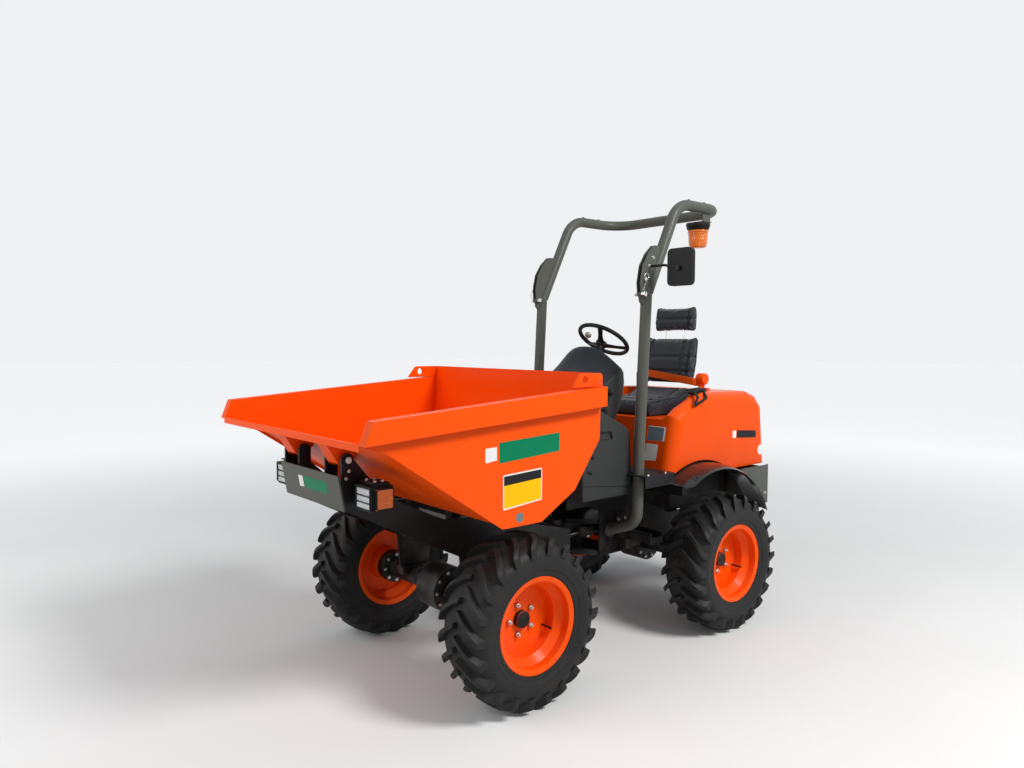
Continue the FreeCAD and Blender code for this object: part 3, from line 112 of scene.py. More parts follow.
class Finish:
    """A material whose nodes are added one by one round a Principled shader."""

    def __init__(self, name):
        self.material = bpy.data.materials.new(name)
        self.material.use_nodes = True
        self.tree = self.material.node_tree
        self.shader = self.tree.nodes["Principled BSDF"]
        self.place = self.node("ShaderNodeTexCoord").outputs["Object"]

    def link(self, value, socket):
        """Feed a socket with a signal, another socket or a plain value."""
        if isinstance(value, Signal):
            value = value.socket
        if isinstance(value, bpy.types.NodeSocket):
            self.tree.links.new(value, socket)
        else:
            socket.default_value = value

    def node(self, kind, settings=None, inputs=None):
        """Add a node: its settings first, then the values or links of its sockets."""
        made = self.tree.nodes.new(kind)
        for name, value in (settings or {}).items():
            setattr(made, name, value)
        for key, value in (inputs or {}).items():
            self.link(value, made.inputs[key])
        return made

    def number(self, kind, settings=None, inputs=None, output=0):
        return Signal(self, self.node(kind, settings, inputs).outputs[output])

    def noise(self, scale, detail=4.0, rough=0.55, stretch=(1, 1, 1)):
        """Soft random values from 0 to 1 at `scale` cells to the metre."""
        spread = self.node("ShaderNodeMapping", None, {"Vector": self.place, "Scale": stretch}).outputs[0]
        return self.number("ShaderNodeTexNoise", None,
                           {"Vector": spread, "Scale": scale, "Detail": detail, "Roughness": rough})

    def step(self, signal, low, high):
        """0 below `low`, 1 above `high`, smooth between."""
        return self.number("ShaderNodeMapRange", {"interpolation_type": "SMOOTHSTEP"},
                           {"Value": signal, "From Min": low, "From Max": high})

    def blend(self, signal, first, second):
        """A colour that runs from `first` to `second` with the signal."""
        made = self.node("ShaderNodeMix", {"data_type": "RGBA"})
        for socket, value in zip((made.inputs[0], made.inputs[6], made.inputs[7]), (signal, first, second)):
            self.link((*value, 1.0) if isinstance(value, tuple) else value, socket)
        return made.outputs[2]

    def facing(self, axis):
        """How far the surface looks along an axis, from -1 to 1."""
        normal = self.node("ShaderNodeNewGeometry").outputs["Normal"]
        return self.number("ShaderNodeSeparateXYZ", None, {"Vector": normal}, "XYZ".index(axis))

    def height(self):
        """Height over the floor, in metres, on a piece at rest."""
        return self.number("ShaderNodeSeparateXYZ", None, {"Vector": self.place}, 2)

    def relief(self, signal, distance, rounding=0.0):
        """Bump of a given depth in metres, over edges rounded for the light."""
        inputs = {"Height": signal, "Distance": distance, "Strength": 1.0}
        if rounding:
            inputs["Normal"] = self.node("ShaderNodeBevel", {"samples": 4}, {"Radius": rounding}).outputs[0]
        self.link(self.node("ShaderNodeBump", None, inputs).outputs[0], self.shader.inputs["Normal"])

    def edge(self, radius):
        """1 on sharp outer edges and 0 on flat ground."""
        wide = self.node("ShaderNodeBevel", {"samples": 4}, {"Radius": radius}).outputs[0]
        flat = self.node("ShaderNodeNewGeometry").outputs["Normal"]
        dot = self.node("ShaderNodeVectorMath", {"operation": "DOT_PRODUCT"}, {0: wide, 1: flat})
        return self.step(1 - Signal(self, dot.outputs["Value"]), 0.02, 0.2)

    def set(self, **values):
        for name, value in {"Specular_IOR_Level": 0.16, **values}.items():
            self.link((*value, 1.0) if isinstance(value, tuple) else value,
                      self.shader.inputs[name.replace("_", " ")])
        return self.material


# %% [markdown]
# ## Finishes
# New paint on a dumper is thick and glossy, with a faint orange-peel ripple.  Dust settles on what
# faces up and near the ground, so height and facing drive a thin veil of it.

# %% Paint, plastic and rubber
DUST = (0.36, 0.33, 0.28)
ORANGE = (0.90, 0.083, 0.001)


def dusty(finish, colour, amount=0.25, low=0.1, high=0.9):
    """A base colour under a broken veil of dust that thins out with height."""
    veil = finish.step(finish.noise(9, 6), 0.42, 0.75)
    fall = 1 - finish.step(finish.height(), low, high)
    up = finish.step(finish.facing("Z"), 0.2, 0.95)
    mask = veil * (fall + up * 0.5) * amount
    return finish.blend(mask, colour, DUST), mask


def paint(name, colour, roughness, dust=0.15, peel=0.00006, coat=0.2, rounding=0.0025, highlight_amount=0.35, gloss=0.16):
    """Sprayed paint on steel: ripple, rounded edges and a painted highlight along them, in patches."""
    finish = Finish(name)
    drift = finish.noise(2.5, 3)
    shaded = finish.blend(drift * 0.5, colour, tuple(c * 0.82 for c in colour))
    base, mask = dusty(finish, shaded, dust)
    # Painted highlight: a paler colour on sharp edges, broken into patches by noise.
    edge_highlight = finish.edge(rounding * 1.4) * finish.step(finish.noise(60, 5), 0.5, 0.7) * highlight_amount
    pale = tuple(min(1.0, c * 0.7 + 0.08) for c in colour)
    finish.relief(finish.noise(320, 2), peel, rounding)
    return finish.set(Base_Color=finish.blend(edge_highlight, base, pale), Roughness=roughness + mask * 0.5 + drift * 0.06,
                      Coat_Weight=coat, Coat_Roughness=0.12, Specular_IOR_Level=gloss)


def moulded(name, colour, roughness, grain=0.00012, scale=900, dust=0.2, coat=0.0, rounding=0.003, gloss=0.16):
    """Moulded plastic with a fine grain and softly rounded edges."""
    finish = Finish(name)
    base, mask = dusty(finish, finish.blend(finish.noise(4, 3), colour, tuple(c * 0.8 for c in colour)), dust)
    finish.relief(finish.noise(scale, 2), grain, rounding)
    return finish.set(Base_Color=base, Roughness=roughness + mask * 0.4, Coat_Weight=coat, Coat_Roughness=0.1,
                      Specular_IOR_Level=gloss)


def rubber():
    """Tyre rubber: blue-black, a waxy sheen on the crowns and dust low in the tread."""
    finish = Finish("TyreRubber")
    patches = finish.step(finish.noise(14, 6), 0.45, 0.7)
    base = finish.blend(patches * 0.3, (0.014, 0.014, 0.014), (0.040, 0.037, 0.032))
    fine = finish.noise(700, 3)
    rings = finish.noise(90, 4, stretch=(1, 6, 1))
    finish.relief(fine * 0.6 + rings * 0.8, 0.0004)
    return finish.set(Base_Color=base, Roughness=0.5 + patches * 0.22, Specular_IOR_Level=0.2)


def metal(name, colour, roughness, scratch=0.06):
    """Bare or plated metal with fine scratches."""
    finish = Finish(name)
    lines = finish.noise(240, 5, stretch=(1, 12, 1))
    finish.relief(lines, 0.00003, 0.0008)
    return finish.set(Base_Color=finish.blend(lines * 0.4, colour, tuple(c * 0.75 for c in colour)), Metallic=1.0,
                      Roughness=roughness + lines * scratch)


def lens(name, colour, roughness=0.08, cells=0):
    """A tinted lamp lens, ribbed on the inside."""
    finish = Finish(name)
    if cells:
        finish.relief(finish.number("ShaderNodeTexWave", {"bands_direction": "Z", "wave_profile": "SIN"},
                                    {"Vector": finish.place, "Scale": cells}), 0.002)
    return finish.set(Base_Color=colour, Roughness=roughness, Transmission_Weight=0.35, Coat_Weight=0.45,
                      Coat_Roughness=0.03, Specular_IOR_Level=0.2)


def woven(name, colour, threads=900):
    """Seat cloth: two crossed sets of threads over padding."""
    finish = Finish(name)
    across = finish.number("ShaderNodeTexWave", {"bands_direction": "Y"}, {"Vector": finish.place, "Scale": threads})
    along = finish.number("ShaderNodeTexWave", {"bands_direction": "X"}, {"Vector": finish.place, "Scale": threads})
    shade = finish.blend(finish.noise(6, 4), colour, tuple(c * 1.7 for c in colour))
    finish.relief(across * 0.5 + along * 0.5 + finish.noise(60, 4) * 0.6, 0.0005)
    return finish.set(Base_Color=shade, Roughness=0.62, Sheen_Weight=0.15, Coat_Weight=0.15, Coat_Roughness=0.35)


FINISHES = {
    "orange_paint": paint("OrangePaint", ORANGE, 0.34, 0.05, coat=0.07, gloss=0.08),
    "orange_plastic": moulded("OrangePlastic", ORANGE, 0.28, 0.00003, 300, 0.03, 0.09, 0.006, 0.08),
    "grey_paint": paint("GreyPaint", (0.085, 0.088, 0.075), 0.42, 0.05, 0.00005, 0.06),
    "black_paint": paint("BlackPaint", (0.009, 0.009, 0.009), 0.42, 0.2, coat=0.08),
    "grey_plastic": moulded("GreyPlastic", (0.036, 0.038, 0.038), 0.5, 0.00025, 700, 0.08),
    "black_plastic": moulded("BlackPlastic", (0.009, 0.009, 0.009), 0.45, dust=0.1),
    "gloss_black": moulded("GlossBlack", (0.012, 0.012, 0.012), 0.16, 0.00002, 200, 0.12, 0.6),
    "tyre_rubber": rubber(),
    "engine_iron": paint("EngineIron", (0.03, 0.031, 0.033), 0.55, 0.5, 0.0003, 0.0),
    "seat_cover": woven("SeatCloth", (0.011, 0.013, 0.017)),
    "amber_lens": lens("AmberLens", (1.0, 0.22, 0.005), cells=40),
    "clear_lens": lens("ClearLens", (0.75, 0.78, 0.8), cells=30),
    "red_lens": lens("RedLens", (0.55, 0.01, 0.008), cells=40),
    "ram_chrome": metal("RamChrome", (0.75, 0.76, 0.77), 0.12),
}
STEEL = metal("ZincSteel", (0.55, 0.55, 0.53), 0.3, 0.12)
slots = {part["node"]: part["material_slot"] for part in frame["record"]["subparts"]}
for name, cad in frame["nodes"].items():
    for place in cad.material_slots:
        place.material = FINISHES[slots[name]]
print("finishes:", len(FINISHES))

# %% [markdown]
# ## Making meshes
# A turned form is a profile spun round an axis, a bar is a section carried along a path, and a
# plate is an outline with a thickness.  These few tools make most of what follows.

# %% Mesh tools
def mesh_object(name, points, faces):
    """A linked object from points in metres."""
    mesh = bpy.data.meshes.new(name)
    mesh.from_pydata([tuple(point) for point in points], [], faces)
    mesh.update()
    made = bpy.data.objects.new(name, mesh)
    SCENE.collection.objects.link(made)
    return made


def settle(piece):
    """Turn a piece's modifiers into its mesh."""
    seen = piece.evaluated_get(bpy.context.evaluated_depsgraph_get())
    mesh = bpy.data.meshes.new_from_object(seen)
    piece.modifiers.clear()
    piece.data = mesh
    return piece


def outward(piece):
    """Merge doubles and point every face out."""
    work = bmesh.new()
    work.from_mesh(piece.data)
    bmesh.ops.remove_doubles(work, verts=work.verts, dist=1e-6)
    bmesh.ops.recalc_face_normals(work, faces=work.faces)
    work.to_mesh(piece.data)
    work.free()
    return piece


def smooth(piece, angle=35):
    piece.data.shade_smooth()
    piece.data.set_sharp_from_angle(angle=math.radians(angle))
    return piece


def soften(piece, width, segments=3, angle=30):
    """Round the edges that are sharper than an angle."""
    bevel = piece.modifiers.new("Rounding", "BEVEL")
    bevel.width, bevel.segments, bevel.limit_method = width, segments, "ANGLE"
    bevel.angle_limit = math.radians(angle)
    return smooth(settle(piece), 40)


def lathe(name, profile, centre, steps=96, axis="Y"):
    """Spin (along, radius) points about the line through `centre` along an axis."""
    points, faces, count = [], [], len(profile)
    for i in range(steps):
        turn = 2 * math.pi * i / steps
        for along, radius in profile:
            across, over = radius * math.cos(turn), radius * math.sin(turn)
            offset = {"X": (along, across, over), "Y": (across, along, over), "Z": (across, over, along)}[axis]
            points.append(Vector(centre) + Vector(offset))
    for i in range(steps):
        for k in range(count - 1):
            a, b = i * count + k, ((i + 1) % steps) * count + k
            faces.append((a, a + 1, b + 1, b))
    return smooth(outward(mesh_object(name, points, faces)))


def rounded(path, bend, steps=8):
    """A path with its corners turned into arcs."""
    path = [Vector(point) for point in path]
    out = [path[0]]
    for before, corner, after in zip(path, path[1:], path[2:]):
        back, on = (before - corner), (after - corner)
        half = back.angle(on) / 2
        reach = min(bend / math.tan(half), back.length * 0.49, on.length * 0.49)
        first, last = corner + back.normalized() * reach, corner + on.normalized() * reach
        for i in range(steps + 1):
            t = i / steps
            out.append(first * (1 - t) ** 2 + corner * 2 * t * (1 - t) + last * t * t)
    return out + [path[-1]]


def bar(name, path, radius, sides=16):
    """A round bar along a path, closed at both ends."""
    points, faces = [], []
    path = [Vector(point) for point in path]
    side = (path[1] - path[0]).orthogonal().normalized()
    for i, place in enumerate(path):
        way = (path[min(i + 1, len(path) - 1)] - path[max(i - 1, 0)]).normalized()
        side = (side - way * side.dot(way)).normalized()
        other = way.cross(side)
        for k in range(sides):
            turn = 2 * math.pi * k / sides
            points.append(place + (side * math.cos(turn) + other * math.sin(turn)) * radius)
    for i in range(len(path) - 1):
        for k in range(sides):
            a, b = i * sides + k, i * sides + (k + 1) % sides
            faces.append((a, b, b + sides, a + sides))
    last = (len(path) - 1) * sides
    faces += [tuple(range(sides))[::-1], tuple(range(last, last + sides))]
    return smooth(outward(mesh_object(name, points, faces)), 50)


def prism(name, outline, axis, low, high):
    """An outline in the two other axes, carried along one axis."""
    order = {"X": (1, 2, 0), "Y": (0, 2, 1), "Z": (0, 1, 2)}[axis]
    points = []
    for level in (low, high):
        for first, second in outline:
            trio = (first, second, level)
            points.append(tuple(trio[order.index(k)] for k in range(3)))
    count = len(outline)
    faces = [tuple(range(count))[::-1], tuple(range(count, 2 * count))]
    faces += [(i, (i + 1) % count, count + (i + 1) % count, count + i) for i in range(count)]
    return outward(mesh_object(name, points, faces))


def block(name, low, high):
    """A box between two corners."""
    return prism(name, [(low[0], low[1]), (high[0], low[1]), (high[0], high[1]), (low[0], high[1])], "Z",
                 low[2], high[2])


def mirrored(piece, name):
    """A copy on the machine's other side."""
    copy = bpy.data.objects.new(name, piece.data.copy())
    SCENE.collection.objects.link(copy)
    copy.data.transform(Matrix.Scale(-1, 4, (0, 1, 0)))
    copy.data.flip_normals()
    return copy


def joined(name, parts):
    """Several meshes as one piece."""
    with bpy.context.temp_override(active_object=parts[0], selected_editable_objects=parts):
        bpy.ops.object.join()
    parts[0].name = parts[0].data.name = name
    return parts[0]


def dress(piece, body, finish, replaced=()):
    """Give a piece its finish and its body; `finish` is a slot's name or a material."""
    material = FINISHES.get(finish, finish)
    piece.data.materials.clear()
    piece.data.materials.append(material)
    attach(piece, body)
    for node in replaced:
        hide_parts(node)
    return piece


# %% [markdown]
# ## What repeats
# Lugs, nuts and bolts come in rings and rows.  Two small node trees place them: one turns copies
# round an axle, and one sets a head on each marked point, square to the surface.

# %% Node trees for repeats
def new_tree(name, sockets):
    """A geometry tree with named inputs."""
    tree = bpy.data.node_groups.new(name, "GeometryNodeTree")
    tree.interface.new_socket("Geometry", in_out="INPUT", socket_type="NodeSocketGeometry")
    for label, kind, value in sockets:
        socket = tree.interface.new_socket(label, in_out="INPUT", socket_type=kind)
        if value is not None:
            socket.default_value = value
    tree.interface.new_socket("Geometry", in_out="OUTPUT", socket_type="NodeSocketGeometry")
    return tree, tree.nodes.new("NodeGroupInput"), tree.nodes.new("NodeGroupOutput")


def finish_tree(tree, entry, leave, instances):
    """Close a tree with Realize Instances and Set Material."""
    real = tree.nodes.new("GeometryNodeRealizeInstances")
    coat = tree.nodes.new("GeometryNodeSetMaterial")
    tree.links.new(instances, real.inputs[0])
    tree.links.new(real.outputs[0], coat.inputs["Geometry"])
    tree.links.new(entry.outputs["Material"], coat.inputs["Material"])
    tree.links.new(coat.outputs[0], leave.inputs[0])
    return tree


def turned_copies_tree():
    """Copies of the incoming mesh, turned evenly about the Y axis."""
    tree, entry, leave = new_tree("Turned copies", [("Count", "NodeSocketInt", 5), ("Material", "NodeSocketMaterial", None)])
    line = tree.nodes.new("GeometryNodeMeshLine")
    line.inputs["Offset"].default_value = (0, 0, 0)
    index = tree.nodes.new("GeometryNodeInputIndex")
    share = tree.nodes.new("ShaderNodeMath")
    share.operation = "DIVIDE"
    turn = tree.nodes.new("ShaderNodeMath")
    turn.operation = "MULTIPLY"
    turn.inputs[1].default_value = 2 * math.pi
    angles = tree.nodes.new("ShaderNodeCombineXYZ")
    place = tree.nodes.new("GeometryNodeInstanceOnPoints")
    for first, second in ((entry.outputs["Count"], line.inputs["Count"]), (index.outputs[0], share.inputs[0]),
                          (entry.outputs["Count"], share.inputs[1]), (share.outputs[0], turn.inputs[0]),
                          (turn.outputs[0], angles.inputs["Y"]), (line.outputs[0], place.inputs["Points"]),
                          (entry.outputs["Geometry"], place.inputs["Instance"]),
                          (angles.outputs[0], place.inputs["Rotation"])):
        tree.links.new(first, second)
    return finish_tree(tree, entry, leave, place.outputs[0])


def heads_tree():
    """One head on every point, its axis along the point's own `facing`."""
    tree, entry, leave = new_tree("Heads at points", [("Head", "NodeSocketObject", None), ("Scale", "NodeSocketFloat", 1.0),
                                                      ("Material", "NodeSocketMaterial", None)])
    head = tree.nodes.new("GeometryNodeObjectInfo")
    facing = tree.nodes.new("GeometryNodeInputNamedAttribute")
    facing.data_type = "FLOAT_VECTOR"
    facing.inputs["Name"].default_value = "facing"
    align = tree.nodes.new("FunctionNodeAlignRotationToVector")
    align.axis = "Z"
    place = tree.nodes.new("GeometryNodeInstanceOnPoints")
    for first, second in ((entry.outputs["Head"], head.inputs["Object"]), (facing.outputs[0], align.inputs["Vector"]),
                          (entry.outputs["Geometry"], place.inputs["Points"]),
                          (head.outputs["Geometry"], place.inputs["Instance"]),
                          (align.outputs[0], place.inputs["Rotation"]), (entry.outputs["Scale"], place.inputs["Scale"])):
        tree.links.new(first, second)
    return finish_tree(tree, entry, leave, place.outputs[0])


TURNED, HEADS = turned_copies_tree(), heads_tree()


def run_tree(piece, tree, values):
    """Add a tree as a modifier, set its inputs by identifier, and settle it."""
    step = piece.modifiers.new(tree.name, "NODES")
    step.node_group = tree
    keys = {item.name: item.identifier for item in tree.interface.items_tree if item.in_out == "INPUT"}
    for label, value in values.items():
        step[keys[label]] = value
    return settle(piece)


def make_hex_head():
    """A hexagon head on a washer, 10 mm across the flats, standing on z = 0."""
    washer = mesh_object("washer", *ring_stack([(0.0095, 0.0), (0.0095, 0.0015)], 24))
    head = mesh_object("head", *ring_stack([(0.0078, 0.0015), (0.0078, 0.0068), (0.0068, 0.0078)], 6))
    return smooth(joined("HexHead", [washer, head]), 30)


def ring_stack(levels, sides):
    """Points and faces of a stack of rings, closed at both ends."""
    points, faces = [], []
    for radius, high in levels:
        for k in range(sides):
            turn = 2 * math.pi * (k + 0.5) / sides
            points.append((radius * math.cos(turn), radius * math.sin(turn), high))
    for i in range(len(levels) - 1):
        for k in range(sides):
            a, b = i * sides + k, i * sides + (k + 1) % sides
            faces.append((a, b, b + sides, a + sides))
    last = (len(levels) - 1) * sides
    faces += [tuple(range(sides))[::-1], tuple(range(last, last + sides))]
    return points, faces


HEX_HEAD = make_hex_head()


def bolts(name, places, body, scale=1.0, finish=STEEL):
    """Heads at (x, y, z, facing) places on one body."""
    points = mesh_object(name, [place[:3] for place in places], [])
    facing = points.data.attributes.new("facing", "FLOAT_VECTOR", "POINT")
    for item, place in zip(facing.data, places):
        item.vector = place[3]
    run_tree(points, HEADS, {"Head": HEX_HEAD, "Scale": scale, "Material": finish})
    return dress(smooth(points, 30), body, finish)


# %% [markdown]
# ## Tyres
# The tyre is the showpiece of the machine: a round casing with twenty-two pairs of bent lugs that
# meet in a chevron and hang over the shoulder.  One pair is swept from listed rows, and the tree turns it.

# %% Tyres
AXLES = {"rear": -0.8125, "front": 0.66}
TRACK, TYRE_R, LUG_PAIRS = 0.586, 0.375, 22
CASING = [(0.000, 0.351), (0.045, 0.3505), (0.080, 0.347), (0.104, 0.338), (0.121, 0.322), (0.1295, 0.302),
          (0.1315, 0.284), (0.1300, 0.266), (0.1255, 0.252), (0.1262, 0.249), (0.1245, 0.246), (0.1195, 0.233),
          (0.1205, 0.230), (0.1180, 0.222), (0.1160, 0.2145), (0.1070, 0.2135), (0.1040, 0.204), (0.0965, 0.1955)]
# Each row of a lug: offset, turn in pitches, top radius, half width on top, half width at the foot.
LUG = [(0.003, -0.02, 0.3735, 0.0120, 0.0175), (0.020, 0.05, 0.3745, 0.0125, 0.0180),
       (0.042, 0.19, 0.3750, 0.0128, 0.0182), (0.065, 0.34, 0.3745, 0.0130, 0.0182),
       (0.086, 0.49, 0.3738, 0.0132, 0.0182), (0.102, 0.64, 0.3700, 0.0136, 0.0182),
       (0.116, 0.80, 0.3630, 0.0142, 0.0182), (0.127, 0.93, 0.3545, 0.0148, 0.0182),
       (0.1338, 0.98, 0.3470, 0.0150, 0.0182)]
SECTION = [(-1.0, 0.0, 1), (-1.0, 0.25, 0.45), (-1.0, 0.8, 0), (-0.93, 0.96, 0), (-0.8, 1.0, 0),
           (0.8, 1.0, 0), (0.93, 0.96, 0), (1.0, 0.8, 0), (1.0, 0.25, 0.45), (1.0, 0.0, 1)]


def lug_mesh(side, shift):
    """One lug, from the tread's middle to the shoulder."""
    points, faces, count = [], [], len(SECTION)
    pitch = 2 * math.pi / LUG_PAIRS
    for offset, turn, top, narrow, wide in LUG:
        foot = 0.345 - max(0.0, offset - 0.09) * 0.95
        for across, high, spread in SECTION:
            half = narrow + (wide - narrow) * spread
            radius = foot + (top - foot) * high
            angle = (turn + shift) * pitch + across * half / top
            points.append((radius * math.cos(angle), side * offset, -radius * math.sin(angle)))
    for i in range(len(LUG) - 1):
        for k in range(count):
            a, b = i * count + k, i * count + (k + 1) % count
            faces.append((a, b, b + count, a + count))
    last = (len(LUG) - 1) * count
    faces += [tuple(range(count))[::-1], tuple(range(last, last + count))]
    return outward(mesh_object("lug", points, faces))


def tyre_mesh():
    """Casing and lugs about the origin, the axle along Y."""
    lugs = joined("lugs", [lug_mesh(1, 0.0), lug_mesh(-1, 0.5)])
    run_tree(lugs, TURNED, {"Count": LUG_PAIRS, "Material": FINISHES["tyre_rubber"]})
    profile = [(-y, r) for y, r in CASING[::-1]] + CASING[1:]
    casing = lathe("casing", profile + profile[:1], (0, 0, 0), 132)
    return smooth(joined("tyre", [casing, lugs]), 38)


tyre = tyre_mesh()
for end, x in AXLES.items():
    for hand, side in (("left", 1), ("right", -1)):
        piece = bpy.data.objects.new("tyre_%s_%s" % (end, hand), tyre.data.copy())
        SCENE.collection.objects.link(piece)
        piece.data.transform(Matrix.Translation((x, side * TRACK, TYRE_R)))
        wheel = "wheel_%s_%s" % (end, hand)
        dress(piece, wheel, "tyre_rubber", [wheel + "_tyre"])
print("tyre triangles:", sum(len(face.vertices) - 2 for face in tyre.data.polygons))
bpy.data.objects.remove(tyre)

# %% [markdown]
# ## Wheel nuts and hubs
# Five nuts hold each wheel.  They stand on the disc round a black hub with a bright centre.

# %% Wheel nuts, hub caps and valves
NUT_RING, DISC_FACE = 0.068, 0.580


def nut_ring(name, x, side):
    """Five nuts on studs, facing out."""
    nut = mesh_object(name, *ring_stack([(0.0125, 0.0), (0.0125, 0.012), (0.0100, 0.0145)], 6))
    stud = mesh_object("stud", *ring_stack([(0.0062, 0.010), (0.0062, 0.0215), (0.0050, 0.0230)], 16))
    pair = joined(name, [nut, stud])
    pair.data.transform(Matrix.Translation((NUT_RING, 0, 0)) @ Matrix.Rotation(-math.pi / 2, 4, "X"))
    run_tree(pair, TURNED, {"Count": 5, "Material": STEEL})
    if side < 0:
        pair.data.transform(Matrix.Rotation(math.pi, 4, "Z"))
    pair.data.transform(Matrix.Translation((x, side * DISC_FACE, TYRE_R)))
    return smooth(pair, 30)


for end, x in AXLES.items():
    for hand, side in (("left", 1), ("right", -1)):
        wheel = "wheel_%s_%s" % (end, hand)
        dress(nut_ring("nuts_%s_%s" % (end, hand), x, side), wheel, STEEL)
        cap = lathe("hub_cap_%s_%s" % (end, hand),
                    [(side * a, r) for a, r in ((0.578, 0.0385), (0.600, 0.0388), (0.6036, 0.036), (0.6040, 0.0235),
                                                (0.6025, 0.0225), (0.6025, 0.0002))], (x, 0, TYRE_R), 48)
        dress(cap, wheel, "black_plastic")
        stem = bar("valve_%s_%s" % (end, hand), [(x - 0.128, side * 0.582, TYRE_R - 0.056),
                                                 (x - 0.133, side * 0.640, TYRE_R - 0.060)], 0.0045, 12)
        dress(stem, wheel, "black_plastic")

# %% [markdown]
# ## The seat
# The seat has three pads in a black coated cloth: a cushion, a back and a head rest.  Each starts
# as its solid's outline, is remeshed, and is blown up a little as cloth with air inside, so the
# sides swell and the corners pull in.  Sewn channels and piping come after the air.

# %% Padded pieces
REAR, MID, FRONT, TOP = AXLES["rear"], -0.07625, AXLES["front"], 0.75
CUSHION_SIDE = [(0.170, 0.406), (0.176, 0.440), (0.158, 0.484), (0.060, 0.498), (-0.120, 0.510), (-0.215, 0.556),
                (-0.250, 0.566), (-0.260, 0.480), (-0.260, 0.406)]
BACK_SIDE = [(-0.226, 0.570), (-0.206, 0.612), (-0.223, 0.720), (-0.263, 0.858), (-0.300, 0.878), (-0.330, 0.866),
             (-0.316, 0.700), (-0.280, 0.578)]
HEAD_SIDE = [(-0.301, 0.904), (-0.293, 0.960), (-0.309, 1.058), (-0.371, 1.068), (-0.381, 1.010), (-0.371, 0.904)]
VOXEL, SHRINK, PRESSURE, FRAMES = 0.006, 0.007, 4.0, 20
PIPING = moulded("SeatPiping", (0.010, 0.010, 0.011), 0.42, 0.00005, 900, 0.0)


def blow_up(pad, cap):
    """Air inside the cover: cloth under pressure, with a limit on how far a point moves."""
    start = [point.co.copy() for point in pad.data.vertices]
    cloth = pad.modifiers.new("Cover", "CLOTH")
    cloth.settings.use_pressure = True
    cloth.settings.uniform_pressure_force = PRESSURE
    cloth.settings.effector_weights.gravity = 0.0
    cloth.point_cache.frame_start, cloth.point_cache.frame_end = 1, FRAMES
    for step in range(1, FRAMES + 1):
        SCENE.frame_set(step)
    settle(pad)
    SCENE.frame_set(1)
    for point, was in zip(pad.data.vertices, start):
        move = point.co - was
        if move.length > cap:
            point.co = was + move.normalized() * cap
    return pad


def sew_channels(pad, lines, depth, reach):
    """Draw the cover in along lines; each line is an axis, a place and where along X it counts."""
    for point in pad.data.vertices:
        for axis, place, test in lines:
            away = point.co["XYZ".index(axis)] - place
            if abs(away) < reach * 3 and test(point.co):
                point.co -= point.normal * depth * math.exp(-(away / reach) ** 2)


def piping(name, pad, side, half_width, body):
    """A thin welt round both sides of a pad, laid on its surface."""
    welts = []
    cover = BVHTree.FromPolygons([point.co for point in pad.data.vertices],
                                 [face.vertices for face in pad.data.polygons])
    for sign in (1, -1):
        path = []
        ring = rounded([(REAR + x, sign * half_width, TOP + z) for x, z in side + side[:2]], 0.03, 6)
        for point in ring:
            place, normal, index, away = cover.find_nearest(point)
            path.append(place + normal * 0.0005)
        welts.append(bar(name, path, 0.0028, 8))
    return dress(joined(name, welts), body, PIPING)


def padded(name, side, half_width, node, cap, lines=()):
    """One pad of the seat."""
    pad = soften(prism(name, [(REAR + x, TOP + z) for x, z in side], "Y", -half_width, half_width), 0.018, 3)
    remesh = pad.modifiers.new("Even mesh", "REMESH")
    remesh.mode, remesh.voxel_size = "VOXEL", VOXEL
    settle(pad)
    for point in pad.data.vertices:
        point.co -= point.normal * SHRINK
    blow_up(pad, cap)
    sew_channels(pad, lines, 0.009, 0.008)
    low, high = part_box(node)
    for point in pad.data.vertices:
        point.co.z = max(point.co.z, low[2] + 0.001)
    finer = pad.modifiers.new("Finer", "SUBSURF")
    finer.levels = finer.render_levels = 1
    smooth(settle(pad), 180)
    dress(pad, "hood", "seat_cover", [node])
    piping(name + "_piping", pad, side, half_width - 0.020, "hood")
    return pad


def on_top(point):
    return point.z > TOP + 0.48


def in_front(point):
    return point.x > REAR - 0.29 + (TOP + 0.6 - point.z) * 0.25


cushion = padded("seat_pad", CUSHION_SIDE, 0.218, "seat_cushion", 0.010,
                 [("Y", 0.125, on_top), ("Y", -0.125, on_top), ("X", REAR - 0.03, on_top), ("X", REAR + 0.07, on_top)])
back_pad = padded("back_pad", BACK_SIDE, 0.200, "seat_back", 0.010,
                  [("Y", 0.125, in_front), ("Y", -0.125, in_front), ("Z", TOP + 0.66, in_front),
                   ("Z", TOP + 0.75, in_front)])
head_pad = padded("head_pad", HEAD_SIDE, 0.147, "seat_headrest", 0.009, [("Z", TOP + 0.985, in_front)])
posts = [bar("post", [(REAR - 0.318, y, TOP + 0.86), (REAR - 0.330, y, TOP + 0.94)], 0.007) for y in (-0.07, 0.07)]
dress(joined("headrest_posts", posts), "hood", "ram_chrome")
print("seat triangles:", sum(len(face.vertices) - 2 for pad in (cushion, back_pad, head_pad)
                             for face in pad.data.polygons))

# %% [markdown]
# ## The belt and the hood's handle
# An orange lap belt lies across the foot of the back, from its reel on the near rim to the far one.
# A strap is a flat section carried along a line, with its wide side against the pad.

# %% Belt, reel and handle
WEBBING = moulded("BeltWebbing", (0.93, 0.125, 0.006), 0.55, 0.0002, 1200, 0.0)
BELT_LINE = [(-1.076, 0.250, 1.342), (-1.034, 0.236, 1.348), (-1.003, 0.120, 1.366), (-0.998, 0.0, 1.382),
             (-1.003, -0.120, 1.394), (-1.038, -0.226, 1.402), (-1.100, -0.240, 1.378)]


